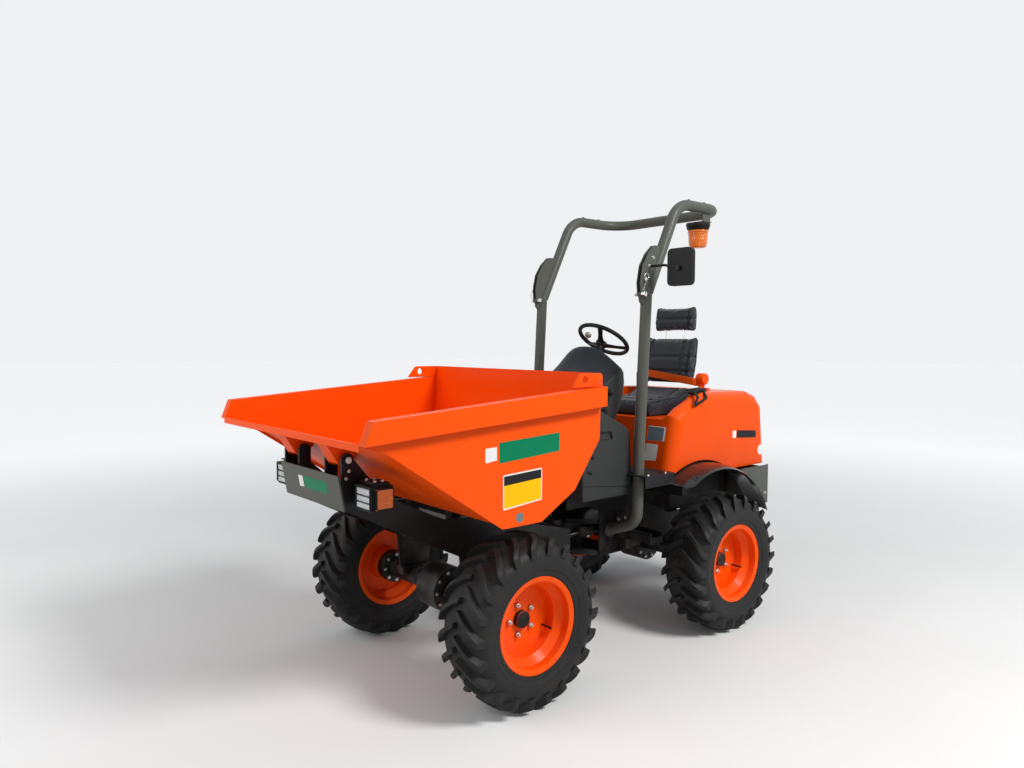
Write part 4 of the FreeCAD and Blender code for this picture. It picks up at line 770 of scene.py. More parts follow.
def strap(name, line, wide, thick, up):
    """A flat band along a line; `up` is the way its width runs."""
    path, points, faces = rounded(line, 0.06, 5), [], []
    for i, place in enumerate(path):
        way = (path[min(i + 1, len(path) - 1)] - path[max(i - 1, 0)]).normalized()
        over = (Vector(up) - way * way.dot(Vector(up))).normalized()
        out = way.cross(over)
        for across, off in ((-1, -1), (-0.4, -1.15), (0.4, -1.15), (1, -1), (1, 1), (-1, 1)):
            points.append(place + over * across * wide / 2 + out * off * thick / 2)
    for i in range(len(path) - 1):
        for k in range(6):
            a, b = i * 6 + k, i * 6 + (k + 1) % 6
            faces.append((a, b, b + 6, a + 6))
    last = (len(path) - 1) * 6
    faces += [tuple(range(6))[::-1], tuple(range(last, last + 6))]
    return smooth(outward(mesh_object(name, points, faces)), 40)


dress(strap("lap_belt", BELT_LINE, 0.046, 0.0025, (0.25, 0, 1)), "hood", WEBBING)
reel = lathe("belt_reel", [(-0.028, 0.0002), (-0.028, 0.030), (-0.022, 0.035), (0.022, 0.035), (0.028, 0.030),
                           (0.028, 0.0002)], (-1.075, 0.260, 1.366), 40)
dress(reel, "hood", "orange_plastic")
anchor = soften(block("anchor", (-1.115, 0.244, 1.296), (-1.035, 0.290, 1.312)), 0.004)
tongue = soften(prism("tongue", [(-1.095, 1.300), (-1.050, 1.300), (-1.052, 1.370), (-1.092, 1.370)], "Y", 0.252, 0.268),
                0.003)
dress(joined("belt_anchor", [anchor, tongue]), "hood", "orange_plastic")
far = soften(block("belt_buckle", (-1.125, -0.262, 1.298), (-1.075, -0.238, 1.392)), 0.006)
dress(far, "hood", "black_plastic")
lever = [bar("grip", rounded([(-0.822, 0.392, 1.304), (-0.775, 0.452, 1.276), (-0.733, 0.459, 1.230), (-0.845, 0.461, 1.272),
                              (-0.895, 0.400, 1.308)], 0.014, 5), 0.0075),
         soften(prism("latch", [(-0.925, 1.302), (-0.806, 1.290), (-0.802, 1.302), (-0.850, 1.322), (-0.910, 1.326),
                                (-0.930, 1.314)], "Y", 0.352, 0.404), 0.005)]
dress(joined("hood_handle", lever), "hood", "black_plastic")
print("belt, reel and handle stand on the near rim")

# %% [markdown]
# ## The beacon and the mirror
# The beacon hangs upside down from its shelf: a ribbed black collar over an amber dome.  The ribs
# of the dome are moulded inside, so its wall is fluted.

# %% Beacon and mirror glass
BEACON = Vector(((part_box("beacon_dome")[0][0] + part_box("beacon_dome")[1][0]) / 2,
                 (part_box("beacon_dome")[0][1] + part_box("beacon_dome")[1][1]) / 2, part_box("beacon_dome")[1][2]))
DOME = [(-0.0005, 0.0002), (-0.0005, 0.058), (-0.010, 0.059), (-0.012, 0.0555), (-0.040, 0.0545), (-0.080, 0.0515),
        (-0.094, 0.0465), (-0.0995, 0.038), (-0.1005, 0.0002)]
FLUTES = 18


def fluted_dome():
    """A turned dome whose wall waves in and out round its axis."""
    dome = lathe("beacon_glass", DOME, BEACON, FLUTES * 8, "Z")
    for point in dome.data.vertices:
        away = Vector((point.co.x - BEACON.x, point.co.y - BEACON.y, 0))
        if -0.090 < point.co.z - BEACON.z < -0.011 and away.length > 0.02:
            turn = math.atan2(away.y, away.x)
            point.co -= away.normalized() * 0.0011 * (1 - abs(math.cos(FLUTES * turn / 2)))
    return smooth(dome, 60)


dress(fluted_dome(), "hoop", "amber_lens", ["beacon_dome"])
core = lathe("beacon_core", [(-0.012, 0.0002), (-0.012, 0.030), (-0.045, 0.026), (-0.050, 0.014), (-0.082, 0.012),
                             (-0.086, 0.0002)], BEACON, 32, "Z")
dress(core, "hoop", "ram_chrome")
collar = [lathe("ring", [(0.006 + 0.009 * k, 0.0605 + 0.0026 * k), (0.008 + 0.009 * k, 0.0635 + 0.0026 * k),
                         (0.011 + 0.009 * k, 0.0635 + 0.0026 * k), (0.013 + 0.009 * k, 0.0605 + 0.0026 * k)],
                BEACON, 64, "Z") for k in range(3)]
dress(joined("beacon_collar", collar), "hoop", "black_plastic")
low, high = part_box("mirror_head")
glass = [(low[1] + 0.012, low[2] + 0.012), (high[1] - 0.012, low[2] + 0.012), (high[1] - 0.012, high[2] - 0.012),
         (low[1] + 0.012, high[2] - 0.012)]
pane = [point for point in rounded([(0, *corner) for corner in glass + glass[:2]], 0.02, 6)][7:]
pane = prism("mirror_glass", [(point.y, point.z) for point in pane[:-1]], "X", low[0] - 0.0008, low[0] + 0.001)
MIRROR = metal("MirrorGlass", (0.86, 0.88, 0.9), 0.03, 0.0)
dress(pane, "hoop", MIRROR)
print("beacon at", [round(value, 3) for value in BEACON])

# %% [markdown]
# ## Lamps at the front
# Each head lamp is a black box with three clear cells behind two wires, and an amber indicator in a
# dark frame on its outer side.  A frame is an outline with a hole, so it is made as a ring of four
# rounded bars.

# %% Lamp frames and wires
def frame_of_bars(name, corners, radius, sides=8):
    """Four bars round a rectangle, closed at its corners."""
    ring = rounded(list(corners) + list(corners[:2]), radius * 1.6, 4)
    return bar(name, ring[:-1], radius, sides)


def lamp_trim(side, hand):
    """Bezel, wires and indicator frame of one lamp."""
    (x0, y0, z0), (x1, y1, z1) = (0, 0.322, 0.912), (0, 0.443, 1.012)
    face = [(1.3155, side * y, z) for y, z in ((y0 + 0.006, z0 + 0.004), (y1 - 0.006, z0 + 0.004),
                                               (y1 - 0.006, z1 - 0.004), (y0 + 0.006, z1 - 0.004))]
    parts = [frame_of_bars("bezel", face, 0.006)]
    for z in (0.9455, 0.9725):
        parts.append(bar("wire", [(1.3235, side * (y0 + 0.004), z), (1.3235, side * (y1 - 0.004), z)], 0.0022, 8))
    for y in (y0 + 0.004, y1 - 0.004):
        parts.append(bar("post", [(1.3235, side * y, z0 + 0.008), (1.3235, side * y, z1 - 0.008)], 0.0026, 8))
    edge = [(x, side * 0.4505, z) for x, z in ((1.224, 0.920), (1.300, 0.920), (1.300, 1.002), (1.224, 1.002))]
    parts.append(frame_of_bars("amber_frame", edge, 0.0050))
    parts.append(soften(block("hood", (1.232, side * 0.3825 - 0.052, 1.022), (1.306, side * 0.3825 + 0.052, 1.0265)), 0.002))
    return dress(joined("lamp_trim_" + hand, parts), "front_frame", "black_plastic")


for side, hand in ((1, "left"), (-1, "right")):
    lamp_trim(side, hand)
UP, FORE, LEFT, RIGHT = (0, 0, 1), (1, 0, 0), (0, 1, 0), (0, -1, 0)
bolts("lamp_bolts", [(x, side * y, 1.0265, UP) for x in (1.250, 1.285) for y in (0.350, 0.415) for side in (1, -1)],
      "front_frame", 0.9)
bolts("ear_bolts", [(1.3295 + dx, side * 0.2825, 1.103 + dz, (0, side, 0)) for side in (1, -1)
                    for dx, dz in ((0.0, -0.044), (0.012, -0.074))], "front_frame", 0.8)
PIN_END_Y = 0.2818
ends = [lathe("end", [(side * PIN_END_Y, 0.0002), (side * PIN_END_Y, 0.0140), (side * (PIN_END_Y + 0.0012), 0.0135),
                      (side * (PIN_END_Y + 0.0016), 0.0002)], (1.3295, 0, 1.103), 40) for side in (1, -1)]
dress(joined("tip_pin_ends", ends), "front_frame", STEEL)
frame["nodes"]["tip_pins"].material_slots[0].material = FINISHES["black_paint"]
print("lamps framed, wired and bolted")

# %% [markdown]
# ## Plates and stickers
# The machine's signs are left blank: only their colours, borders and shapes stay.  Each is a thin
# sheet of film a third of a millimetre proud of what it sticks to.

# %% Blank plates
def film(name, colour, roughness=0.3):
    """Printed film: flat colour with a soft unevenness under a clear coat."""
    finish = Finish(name)
    shade = finish.blend(finish.noise(30, 4), colour, tuple(c * 0.86 for c in colour))
    finish.relief(finish.noise(200, 2), 0.00003)
    return finish.set(Base_Color=shade, Roughness=roughness, Coat_Weight=0.08, Coat_Roughness=0.15,
                      Specular_IOR_Level=0.07)


GREEN, YELLOW = film("GreenFilm", (0.0, 0.19, 0.082)), film("YellowFilm", (0.93, 0.50, 0.0))
WHITE, BLACK = film("WhiteFilm", (0.78, 0.77, 0.74)), film("BlackFilm", (0.015, 0.015, 0.016))
SILVER = film("SilverFilm", (0.16, 0.20, 0.22), 0.35)


def plate_on(name, corner, along, up, wide, high, body, finish, lift=0.0004):
    """A sheet on a surface: its low corner, the directions of its sides and its two lengths."""
    along, up = Vector(along).normalized(), Vector(up).normalized()
    out = along.cross(up)
    corner = Vector(corner)
    radius = min(wide, high) * 0.06
    ring = [corner, corner + along * wide, corner + along * wide + up * high, corner + up * high]
    ring = rounded(ring + ring[:2], radius, 3)[4:-1]
    count = len(ring)
    points = [point - out * 0.001 for point in ring] + [point + out * lift for point in ring]
    faces = [tuple(range(count))[::-1], tuple(range(count, 2 * count))]
    faces += [(i, (i + 1) % count, count + (i + 1) % count, count + i) for i in range(count)]
    return dress(outward(mesh_object(name, points, faces)), body, finish)


SKIP_Y, HOOD_Y = 0.660, 0.450
# Each sign of a side: front end, low edge at the front, length, height, rise to the rear, body, finish, lift.
SIDE_SIGNS = [("sign_green", 0.845, 1.087, 0.341, 0.086, 0.055, "skip", GREEN, 0.0004),
              ("sign_white", 0.918, 1.096, 0.060, 0.059, 0.040, "skip", WHITE, 0.0004),
              ("notice_border", 0.825, 0.889, 0.218, 0.147, 0.050, "skip", WHITE, 0.0004),
              ("notice_yellow", 0.820, 0.895, 0.208, 0.135, 0.050, "skip", YELLOW, 0.0006),
              ("notice_head", 0.820, 0.991, 0.208, 0.039, 0.050, "skip", BLACK, 0.0008),
              ("model_plate", -1.167, 1.017, 0.203, 0.046, -0.075, "hood", BLACK, 0.0004),
              ("model_mark", -1.124, 1.019, 0.036, 0.044, -0.075, "hood", WHITE, 0.0004)]


def side_sign(side, hand, name, front, low, wide, high, rise, body, finish, lift):
    """A sign on the machine's left or right, level with the rail or the crease above it."""
    y = side * (SKIP_Y if body == "skip" else HOOD_Y)
    if side > 0:
        corner, along = (front, y, low), (-1, 0, rise)
    else:
        corner, along = (front - wide, y, low + wide * rise), (1, 0, -rise)
    plate_on(name + "_" + hand, corner, along, UP, wide, high, body, finish, lift)


for side, hand in ((1, "left"), (-1, "right")):
    for sign in SIDE_SIGNS:
        side_sign(side, hand, *sign)
    for name, x, z, radius, face, body, finish in (("disc", 0.733, 0.8475, 0.021, SKIP_Y, "skip", SILVER),
                                                   ("round_mark", -1.4245, 0.9245, 0.031, HOOD_Y, "hood", WHITE)):
        spot = lathe(name + "_" + hand, [(side * (face - 0.0004), 0.0002), (side * (face - 0.0004), radius),
                                         (side * (face + 0.0006), radius), (side * (face + 0.0008), 0.0002)],
                     (x, 0, z), 40)
        dress(spot, body, finish)
PLATE_LEAN = Vector((0.027, 0, 0.150)).normalized()
FRONT_FACE = Vector((FRONT + 0.688, 0, TOP + 0.140))


def on_front(name, y_low, z_low, wide, high, finish):
    start = FRONT_FACE + PLATE_LEAN * (z_low / PLATE_LEAN.z)
    plate_on(name, (start.x, y_low, start.z), LEFT, PLATE_LEAN, wide, high, "front_frame", finish)


on_front("front_sign_green", -0.062, 0.056, 0.220, 0.054, GREEN)
on_front("front_sign_white", -0.112, 0.056, 0.042, 0.052, WHITE)
HOOD_LEAN = Vector((-0.0765, 0, 0.3396)).normalized()
HOOD_FACE = Vector((REAR + 0.2925, 0, TOP + 0.088))


def on_hood(name, y_low, z_low, wide, high, finish, lift=0.0004):
    start = HOOD_FACE + HOOD_LEAN * ((z_low - HOOD_FACE.z) / HOOD_LEAN.z)
    plate_on(name, (start.x, y_low, start.z), LEFT, HOOD_LEAN, wide, high, "hood", finish, lift)


on_hood("data_plate_edge", 0.260, 1.033, 0.124, 0.084, WHITE)
on_hood("data_plate", 0.262, 1.034, 0.110, 0.078, SILVER, 0.0006)
on_hood("hood_label", 0.262, 0.922, 0.084, 0.096, WHITE)
on_hood("hood_label_inner", 0.224, 0.935, 0.032, 0.080, WHITE)
print("plates are blank")

# %% [markdown]
# ## The hoop's hinge
# A pin holds the folding hoop on each side.  A lock pin with a ring stands above it, tied to the
# hinge by a short steel chain, so it can't get lost.  The chain is one link, copied along a line
# and turned by a quarter each time.

# %% Hinge pins, ring and chain
def chain_tree():
    """Links along a mesh line, each turned a quarter about the line from the one before."""
    tree, entry, leave = new_tree("Links on a line", [("Link", "NodeSocketObject", None), ("Step", "NodeSocketFloat", 0.01),
                                                      ("Quarter", "NodeSocketFloat", 1.0),
                                                      ("Material", "NodeSocketMaterial", None)])
    curve, even = tree.nodes.new("GeometryNodeMeshToCurve"), tree.nodes.new("GeometryNodeResampleCurve")
    even.mode = "LENGTH"
    link, tangent = tree.nodes.new("GeometryNodeObjectInfo"), tree.nodes.new("GeometryNodeInputTangent")
    align, place = tree.nodes.new("FunctionNodeAlignRotationToVector"), tree.nodes.new("GeometryNodeInstanceOnPoints")
    align.axis = "X"
    index, odd, turn = (tree.nodes.new(kind) for kind in ("GeometryNodeInputIndex", "ShaderNodeMath", "ShaderNodeMath"))
    odd.operation, turn.operation = "MODULO", "MULTIPLY"
    odd.inputs[1].default_value = 2
    quarter, spin = tree.nodes.new("ShaderNodeMath"), tree.nodes.new("FunctionNodeAxisAngleToRotation")
    quarter.operation = "MULTIPLY"
    quarter.inputs[1].default_value = math.pi / 2
    spin.inputs["Axis"].default_value = (1, 0, 0)
    both = tree.nodes.new("FunctionNodeRotateRotation")
    both.rotation_space = "LOCAL"
    for first, second in ((entry.outputs["Geometry"], curve.inputs[0]), (curve.outputs[0], even.inputs["Curve"]),
                          (entry.outputs["Step"], even.inputs["Length"]), (entry.outputs["Link"], link.inputs["Object"]),
                          (tangent.outputs[0], align.inputs["Vector"]), (index.outputs[0], odd.inputs[0]),
                          (odd.outputs[0], turn.inputs[0]), (entry.outputs["Quarter"], turn.inputs[1]),
                          (turn.outputs[0], quarter.inputs[0]), (quarter.outputs[0], spin.inputs["Angle"]),
                          (align.outputs[0], both.inputs["Rotation"]), (spin.outputs[0], both.inputs["Rotate By"]),
                          (even.outputs[0], place.inputs["Points"]), (link.outputs["Geometry"], place.inputs["Instance"]),
                          (both.outputs[0], place.inputs["Rotation"])):
        tree.links.new(first, second)
    return finish_tree(tree, entry, leave, place.outputs[0])


LINKS = chain_tree()
HINGE_X, HINGE_Z, HOOP_Y = -0.322, 1.841, 0.410


def along_line(name, path, link, step, quarter, body, finish):
    """Copies of `link` along a path."""
    line = bpy.data.meshes.new(name)
    line.from_pydata([tuple(point) for point in path], [(i, i + 1) for i in range(len(path) - 1)], [])
    piece = bpy.data.objects.new(name, line)
    SCENE.collection.objects.link(piece)
    run_tree(piece, LINKS, {"Link": link, "Step": step, "Quarter": quarter, "Material": finish})
    return dress(smooth(piece, 60), body, finish)


link = bar("link", rounded([(-0.0055, 0.0028, 0), (0.0055, 0.0028, 0), (0.0055, -0.0028, 0), (-0.0055, -0.0028, 0),
                            (-0.0055, 0.0028, 0), (0.0055, 0.0028, 0)], 0.0027, 3)[4:-1], 0.0009, 6)
pins = []
for side, hand in ((1, "left"), (-1, "right")):
    pins += [lathe("pin", [(side * (HOOP_Y - 0.034), 0.0002), (side * (HOOP_Y - 0.034), 0.0120),
                           (side * (HOOP_Y - 0.0145), 0.0125), (side * (HOOP_Y - 0.0145), 0.0002)],
                   (HINGE_X, 0, HINGE_Z), 6),
             lathe("pin", [(side * (HOOP_Y + 0.0145), 0.0002), (side * (HOOP_Y + 0.0145), 0.0155),
                           (side * (HOOP_Y + 0.020), 0.0160), (side * (HOOP_Y + 0.034), 0.0125),
                           (side * (HOOP_Y + 0.036), 0.0002)], (HINGE_X, 0, HINGE_Z), 32),
             lathe("lock", [(side * (HOOP_Y + 0.0145), 0.0002), (side * (HOOP_Y + 0.0145), 0.0105),
                            (side * (HOOP_Y + 0.026), 0.0100), (side * (HOOP_Y + 0.031), 0.0060),
                            (side * (HOOP_Y + 0.031), 0.0002)], (HINGE_X - 0.012, 0, HINGE_Z + 0.078), 24)]
    ring = [(HINGE_X - 0.012 + 0.016 * math.sin(turn), side * (HOOP_Y + 0.030),
             HINGE_Z + 0.093 + 0.016 * math.cos(turn)) for turn in [2 * math.pi * k / 24 for k in range(25)]]
    pins.append(bar("ring", ring, 0.0016, 8))
    hang = [(HINGE_X - 0.010, side * (HOOP_Y + 0.033), HINGE_Z + 0.072), (HINGE_X + 0.010, side * (HOOP_Y + 0.036), HINGE_Z + 0.045),
            (HINGE_X + 0.018, side * (HOOP_Y + 0.034), HINGE_Z + 0.024), (HINGE_X + 0.008, side * (HOOP_Y + 0.031), HINGE_Z + 0.010)]
    along_line("pin_chain_" + hand, rounded(hang, 0.02, 4), link, 0.0082, 1.0, "hoop", STEEL)
dress(joined("hinge_pins", pins), "hoop", "ram_chrome")
bpy.data.objects.remove(link)
bolts("cheek_bolts", [(HINGE_X + dx, side * (HOOP_Y + 0.0142), HINGE_Z + dz, (0, side, 0)) for side in (1, -1)
                      for dx, dz in ((-0.050, 0.150), (-0.080, 0.196))], "hoop", 1.0)
plugs = [lathe("plug", [(0.0290, 0.0002), (0.0290, 0.0085), (0.0315, 0.0085), (0.0318, 0.0045), (0.0345, 0.0040),
                        (0.0348, 0.0002)], (x, side * HOOP_Y, HINGE_Z + 0.508), 20, "Z")
         for x in (-0.720, -0.860) for side in (1, -1)]
dress(joined("hoop_plugs", plugs), "hoop", "black_plastic")
print("hinges pinned and chained")

# %% [markdown]
# ## Floor, steps and console
# Feet need grip, so the floor plate and the step treads carry rows of raised lozenges.  Each is the
# same little form, set on its point by the tree that places bolt heads.

# %% Raised grip on floor and steps
def make_lozenge(turn):
    """A low pointed lozenge, 22 mm long, turned about its own middle."""
    low = [(0.011, 0, 0), (0, 0.0036, 0), (-0.011, 0, 0), (0, -0.0036, 0)]
    high = [(0.006, 0, 0.0014), (0, 0.0016, 0.0014), (-0.006, 0, 0.0014), (0, -0.0016, 0.0014)]
    faces = [(3, 2, 1, 0), (4, 5, 6, 7)] + [(i, (i + 1) % 4, 4 + (i + 1) % 4, 4 + i) for i in range(4)]
    made = mesh_object("lozenge", low + high, faces)
    made.data.transform(Matrix.Rotation(turn, 4, "Z"))
    return made


def grip(name, regions, high, body):
    """Lozenges over rectangles (x0, y0, x1, y1), turned one way and the other."""
    pieces = []
    for way in (0, 1):
        head = make_lozenge(math.radians(45 - 90 * way))
        places = []
        for x0, y0, x1, y1 in regions:
            across, along = int((x1 - x0) / 0.026), int((y1 - y0) / 0.026)
            for i in range(across):
                for k in range(along):
                    if (i + k) % 2 == way:
                        places.append((x0 + 0.013 + i * 0.026, y0 + 0.013 + k * 0.026, high))
        points = mesh_object(name, places, [])
        facing = points.data.attributes.new("facing", "FLOAT_VECTOR", "POINT")
        for item in facing.data:
            item.vector = (0, 0, 1)
        pieces.append(run_tree(points, HEADS, {"Head": head, "Scale": 1.0, "Material": FINISHES["black_paint"]}))
        bpy.data.objects.remove(head)
    return dress(joined(name, pieces), body, "black_paint")


FLOOR_Z, TREAD_Z = 0.885, 0.515
grip("floor_grip", [(-0.508, -0.496, -0.370, 0.496), (-0.370, -0.350, -0.344, 0.350)], FLOOR_Z, "rear_frame")
grip("step_grip", [(-0.443, 0.222, -0.361, 0.464), (-0.443, -0.464, -0.361, -0.222)], TREAD_Z, "rear_frame")
bolts("floor_bolts", [(x, side * y, FLOOR_Z, UP) for x, y in ((-0.311, 0.483), (-0.450, 0.485)) for side in (1, -1)],
      "rear_frame", 1.0)
bolts("step_bolts", [(-0.430 + 0.055 * k, side * 0.2205, 0.600, (0, side, 0)) for k in range(2) for side in (1, -1)],
      "rear_frame", 1.0)

# %% [markdown]
# ## Steering wheel and cowl
# The wheel has a padded rim, three broad spokes that dip to the hub, and a ball to spin it by.  The
# cowl is a skin over nine ribs: a narrow crest over the column that swells into shoulders.

# %% Steering wheel and cowl
WHEEL_AT, WHEEL_TILT, WHEEL_R, RIM_R = Vector((-0.478, 0, 1.603)), math.radians(-34), 0.148, 0.0120


def steering_wheel_mesh():
    """Rim, spokes, hub and ball about the origin, then tilted to the driver."""
    section = [(RIM_R * math.sin(turn), WHEEL_R + RIM_R * math.cos(turn))
               for turn in [2 * math.pi * k / 16 for k in range(17)]]
    parts = [lathe("rim", section, (0, 0, 0), 96, "Z"),
             lathe("hub", [(-0.0455, 0.0002), (-0.0455, 0.030), (-0.038, 0.034), (-0.024, 0.035), (-0.0185, 0.031),
                           (-0.0165, 0.022), (-0.0160, 0.0002)], (0, 0, 0), 48, "Z")]
    for degrees in (30, 126, 258):
        spoke = mesh_object("spoke", [(x, side * wide, z + lift) for x, wide, z in
                                      ((0.028, 0.021, -0.032), (0.080, 0.013, -0.020), (0.143, 0.015, -0.003))
                                      for side, lift in ((-1, -0.005), (1, -0.005), (1, 0.005), (-1, 0.005))],
                            [(3, 2, 1, 0), (8, 9, 10, 11)] + [(i * 4 + k, i * 4 + (k + 1) % 4, i * 4 + 4 + (k + 1) % 4,
                                                               i * 4 + 4 + k) for i in range(2) for k in range(4)])
        soften(outward(spoke), 0.0035, 3)
        spoke.data.transform(Matrix.Rotation(math.radians(degrees), 4, "Z"))
        parts.append(spoke)
    wheel = joined("steering_rim", parts)
    wheel.data.transform(Matrix.Translation(WHEEL_AT) @ Matrix.Rotation(WHEEL_TILT, 4, "Y"))
    return wheel


dress(steering_wheel_mesh(), "steering_wheel", "black_plastic", ["steering_wheel"])
turn = math.radians(268)
ball = lathe("spinner_ball", [(0.010, 0.0002), (0.010, 0.008), (0.020, 0.009), (0.025, 0.017), (0.034, 0.021), (0.044, 0.020),
                              (0.052, 0.012), (0.0545, 0.0002)], (WHEEL_R * math.cos(turn), WHEEL_R * math.sin(turn), 0), 32, "Z")
ball.data.transform(Matrix.Translation(WHEEL_AT) @ Matrix.Rotation(WHEEL_TILT, 4, "Y"))
BALL = moulded("SpinnerBall", (0.34, 0.29, 0.22), 0.18, 0.00002, 300, 0.0, 0.8)
dress(ball, "steering_wheel", BALL)

COWL_RIBS = [
    (0.000, [(52, 1246), (24, 1320), (-62, 1400), (-135, 1446), (-192, 1494), (-240, 1540), (-284, 1562), (-335, 1567),
             (-366, 1546), (-380, 1450), (-370, 1330), (-362, 1246)]),
    (0.066, [(52, 1246), (20, 1314), (-76, 1388), (-155, 1434), (-212, 1482), (-258, 1530), (-298, 1558), (-338, 1566),
             (-367, 1546), (-381, 1450), (-370, 1330), (-362, 1246)]),
    (0.126, [(52, 1246), (12, 1304), (-95, 1366), (-180, 1414), (-240, 1458), (-284, 1500), (-316, 1528), (-346, 1534),
             (-370, 1514), (-382, 1430), (-370, 1330), (-362, 1246)]),
    (0.186, [(52, 1246), (4, 1294), (-112, 1346), (-204, 1388), (-266, 1428), (-306, 1464), (-332, 1486), (-355, 1492),
             (-374, 1474), (-385, 1400), (-370, 1320), (-362, 1246)]),
    (0.249, [(46, 1246), (-16, 1276), (-140, 1322), (-232, 1360), (-288, 1392), (-322, 1420), (-344, 1438), (-362, 1443),
             (-378, 1428), (-387, 1362), (-369, 1300), (-362, 1246)])]


def cowl_mesh():
    """Ribs from one side to the other, skinned, closed at the sides and smoothed."""
    ribs = [(-y, outline) for y, outline in COWL_RIBS[:0:-1]] + COWL_RIBS
    count = len(COWL_RIBS[0][1])
    points = [(x / 1000, y, z / 1000) for y, outline in ribs for x, z in outline]
    faces = [(i * count + k, i * count + (k + 1) % count, (i + 1) * count + (k + 1) % count, (i + 1) * count + k)
             for i in range(len(ribs) - 1) for k in range(count)]
    last = (len(ribs) - 1) * count
    faces += [tuple(range(count)), tuple(range(last, last + count))]
    cowl = outward(mesh_object("cowl", points, faces))
    sharp = cowl.data.attributes.new("crease_edge", "FLOAT", "EDGE")
    for edge, value in zip(cowl.data.edges, sharp.data):
        first, second = (cowl.data.vertices[i].co for i in edge.vertices)
        low = first.z < 1.25 and second.z < 1.25
        value.value = 1.0 if low else 0.75 if abs(first.y) > 0.24 and abs(second.y) > 0.24 else 0.0
    skin = cowl.modifiers.new("Skin", "SUBSURF")
    skin.levels = skin.render_levels = 3
    return smooth(settle(cowl), 50)


SLATE = moulded("SlatePlastic", (0.020, 0.023, 0.028), 0.5, 0.00022, 700, 0.06)
cowl = cowl_mesh()
dress(cowl, "rear_frame", SLATE, ["console_cowl"])
cowl.data.materials.append(FINISHES["grey_plastic"])
for face in cowl.data.polygons:
    if abs(face.center.y) > 0.243 and abs(face.normal.y) > 0.8:
        face.material_index = 1
skirt = prism("cowl_skirt", [(-0.0553, 1.2465), (-0.1333, 1.2065), (-0.2873, 1.1295), (-0.3593, 1.2475)], "Y", -0.249, 0.249)
dress(soften(skirt, 0.004), "rear_frame", "grey_plastic")
print("cowl faces:", len(cowl.data.polygons))

# %% [markdown]
# ## Console details
# The console is one moulding with a seam round its top, hand slots in its sides and a few vents.
# The parting lines are thin dark bars let into the surface, and a thin dark bar round each hand slot is painted shade
# along the rim of its recess.

# %% Console trim, pedals and levers
SIDE_Y = 0.365
CONSOLE_SIDE = [(-0.326, 0.770), (0.052, 0.770), (0.057, 0.810), (0.057, 1.220), (0.034, 1.246), (-0.055, 1.246),
                (-0.133, 1.206), (-0.287, 1.129), (-0.306, 1.100)]
console = soften(prism("console", CONSOLE_SIDE, "Y", -SIDE_Y, SIDE_Y), 0.010, 4)
for side in (1, -1):
    hollow = soften(prism("hollow", [(-0.168, 1.083), (-0.060, 1.083), (-0.060, 1.122), (-0.150, 1.122)], "Y",
                          side * SIDE_Y - 0.010, side * SIDE_Y + 0.010), 0.006, 3)
    cut = console.modifiers.new("Hollow", "BOOLEAN")
    cut.object, cut.operation, cut.solver = hollow, "DIFFERENCE", "EXACT"
    settle(console)
    bpy.data.objects.remove(hollow)
dress(smooth(console, 35), "rear_frame", "grey_plastic", ["console_base"])
trim_and_shade_lines = []
for side in (1, -1):
    y = side * (SIDE_Y + 0.0006)
    # Painted shade: the thin black bar round each hand slot stands for the shadow along the rim of its recess.
    slot = [(x, y, z) for x, z in ((-0.110, 1.083), (-0.060, 1.083), (-0.060, 1.122), (-0.150, 1.122), (-0.168, 1.083),
                                   (-0.110, 1.083))]
    trim_and_shade_lines.append(bar("slot", rounded(slot, 0.010, 4), 0.0015, 6))
    trim_and_shade_lines.append(bar("low_seam", [(-0.318, y, 0.813), (0.050, y, 0.853)], 0.0014, 6))
    for x, z in ((-0.006, 0.999), (0.009, 0.921)):
        trim_and_shade_lines.append(bar("clip", [(x - 0.016, y, z - 0.007), (x + 0.014, y, z + 0.004)], 0.0060, 8))
dress(joined("console_trim", trim_and_shade_lines), "rear_frame", "black_plastic")
pedals = []
for y, wide in ((0.175, 0.060), (-0.175, 0.075), (-0.080, 0.060)):
    pad = soften(block("pad", (-0.009, -wide / 2, -0.045), (0.009, wide / 2, 0.045)), 0.004)
    pad.data.transform(Matrix.Translation((MID - 0.300, y, TOP + 0.245)) @ Matrix.Rotation(math.radians(38), 4, "Y"))
    ribs = []
    for k in range(5):
        rib = block("rib", (-0.0115, -wide / 2 + 0.006, -0.036 + 0.017 * k), (-0.008, wide / 2 - 0.006, -0.030 + 0.017 * k))
        rib.data.transform(Matrix.Translation((MID - 0.300, y, TOP + 0.245)) @ Matrix.Rotation(math.radians(38), 4, "Y"))
        ribs.append(rib)
    arm = bar("arm", rounded([(MID - 0.294, y, TOP + 0.240), (MID - 0.262, y, TOP + 0.262), (MID - 0.215, y, TOP + 0.290)],
                             0.02, 4), 0.007, 10)
    pedals += [pad, arm] + ribs
dress(joined("pedals", pedals), "rear_frame", "black_plastic")


def lever(name, foot, head, knob):
    """A rod with a rubber boot at its foot and a knob at its head."""
    foot, head = Vector(foot), Vector(head)
    way = (head - foot).normalized()
    rod = bar("rod", [foot, head], 0.0055, 12)
    boot = bar_of_rings("boot", foot, way, [(0.0, 0.026), (0.008, 0.024), (0.012, 0.019), (0.018, 0.021), (0.024, 0.015),
                                            (0.030, 0.017), (0.036, 0.010), (0.046, 0.007)])
    grip_end = bar_of_rings("knob", head - way * 0.008, way, knob)
    return joined(name, [rod, boot, grip_end])


def bar_of_rings(name, foot, way, rings, sides=24):
    """Rings (along, radius) about a line, closed at both ends."""
    points, faces = ring_stack([(radius, along) for along, radius in rings], sides)
    made = mesh_object(name, points, faces)
    made.data.transform(Matrix.Translation(foot) @ way.to_track_quat("Z", "Y").to_matrix().to_4x4())
    return smooth(outward(made), 50)


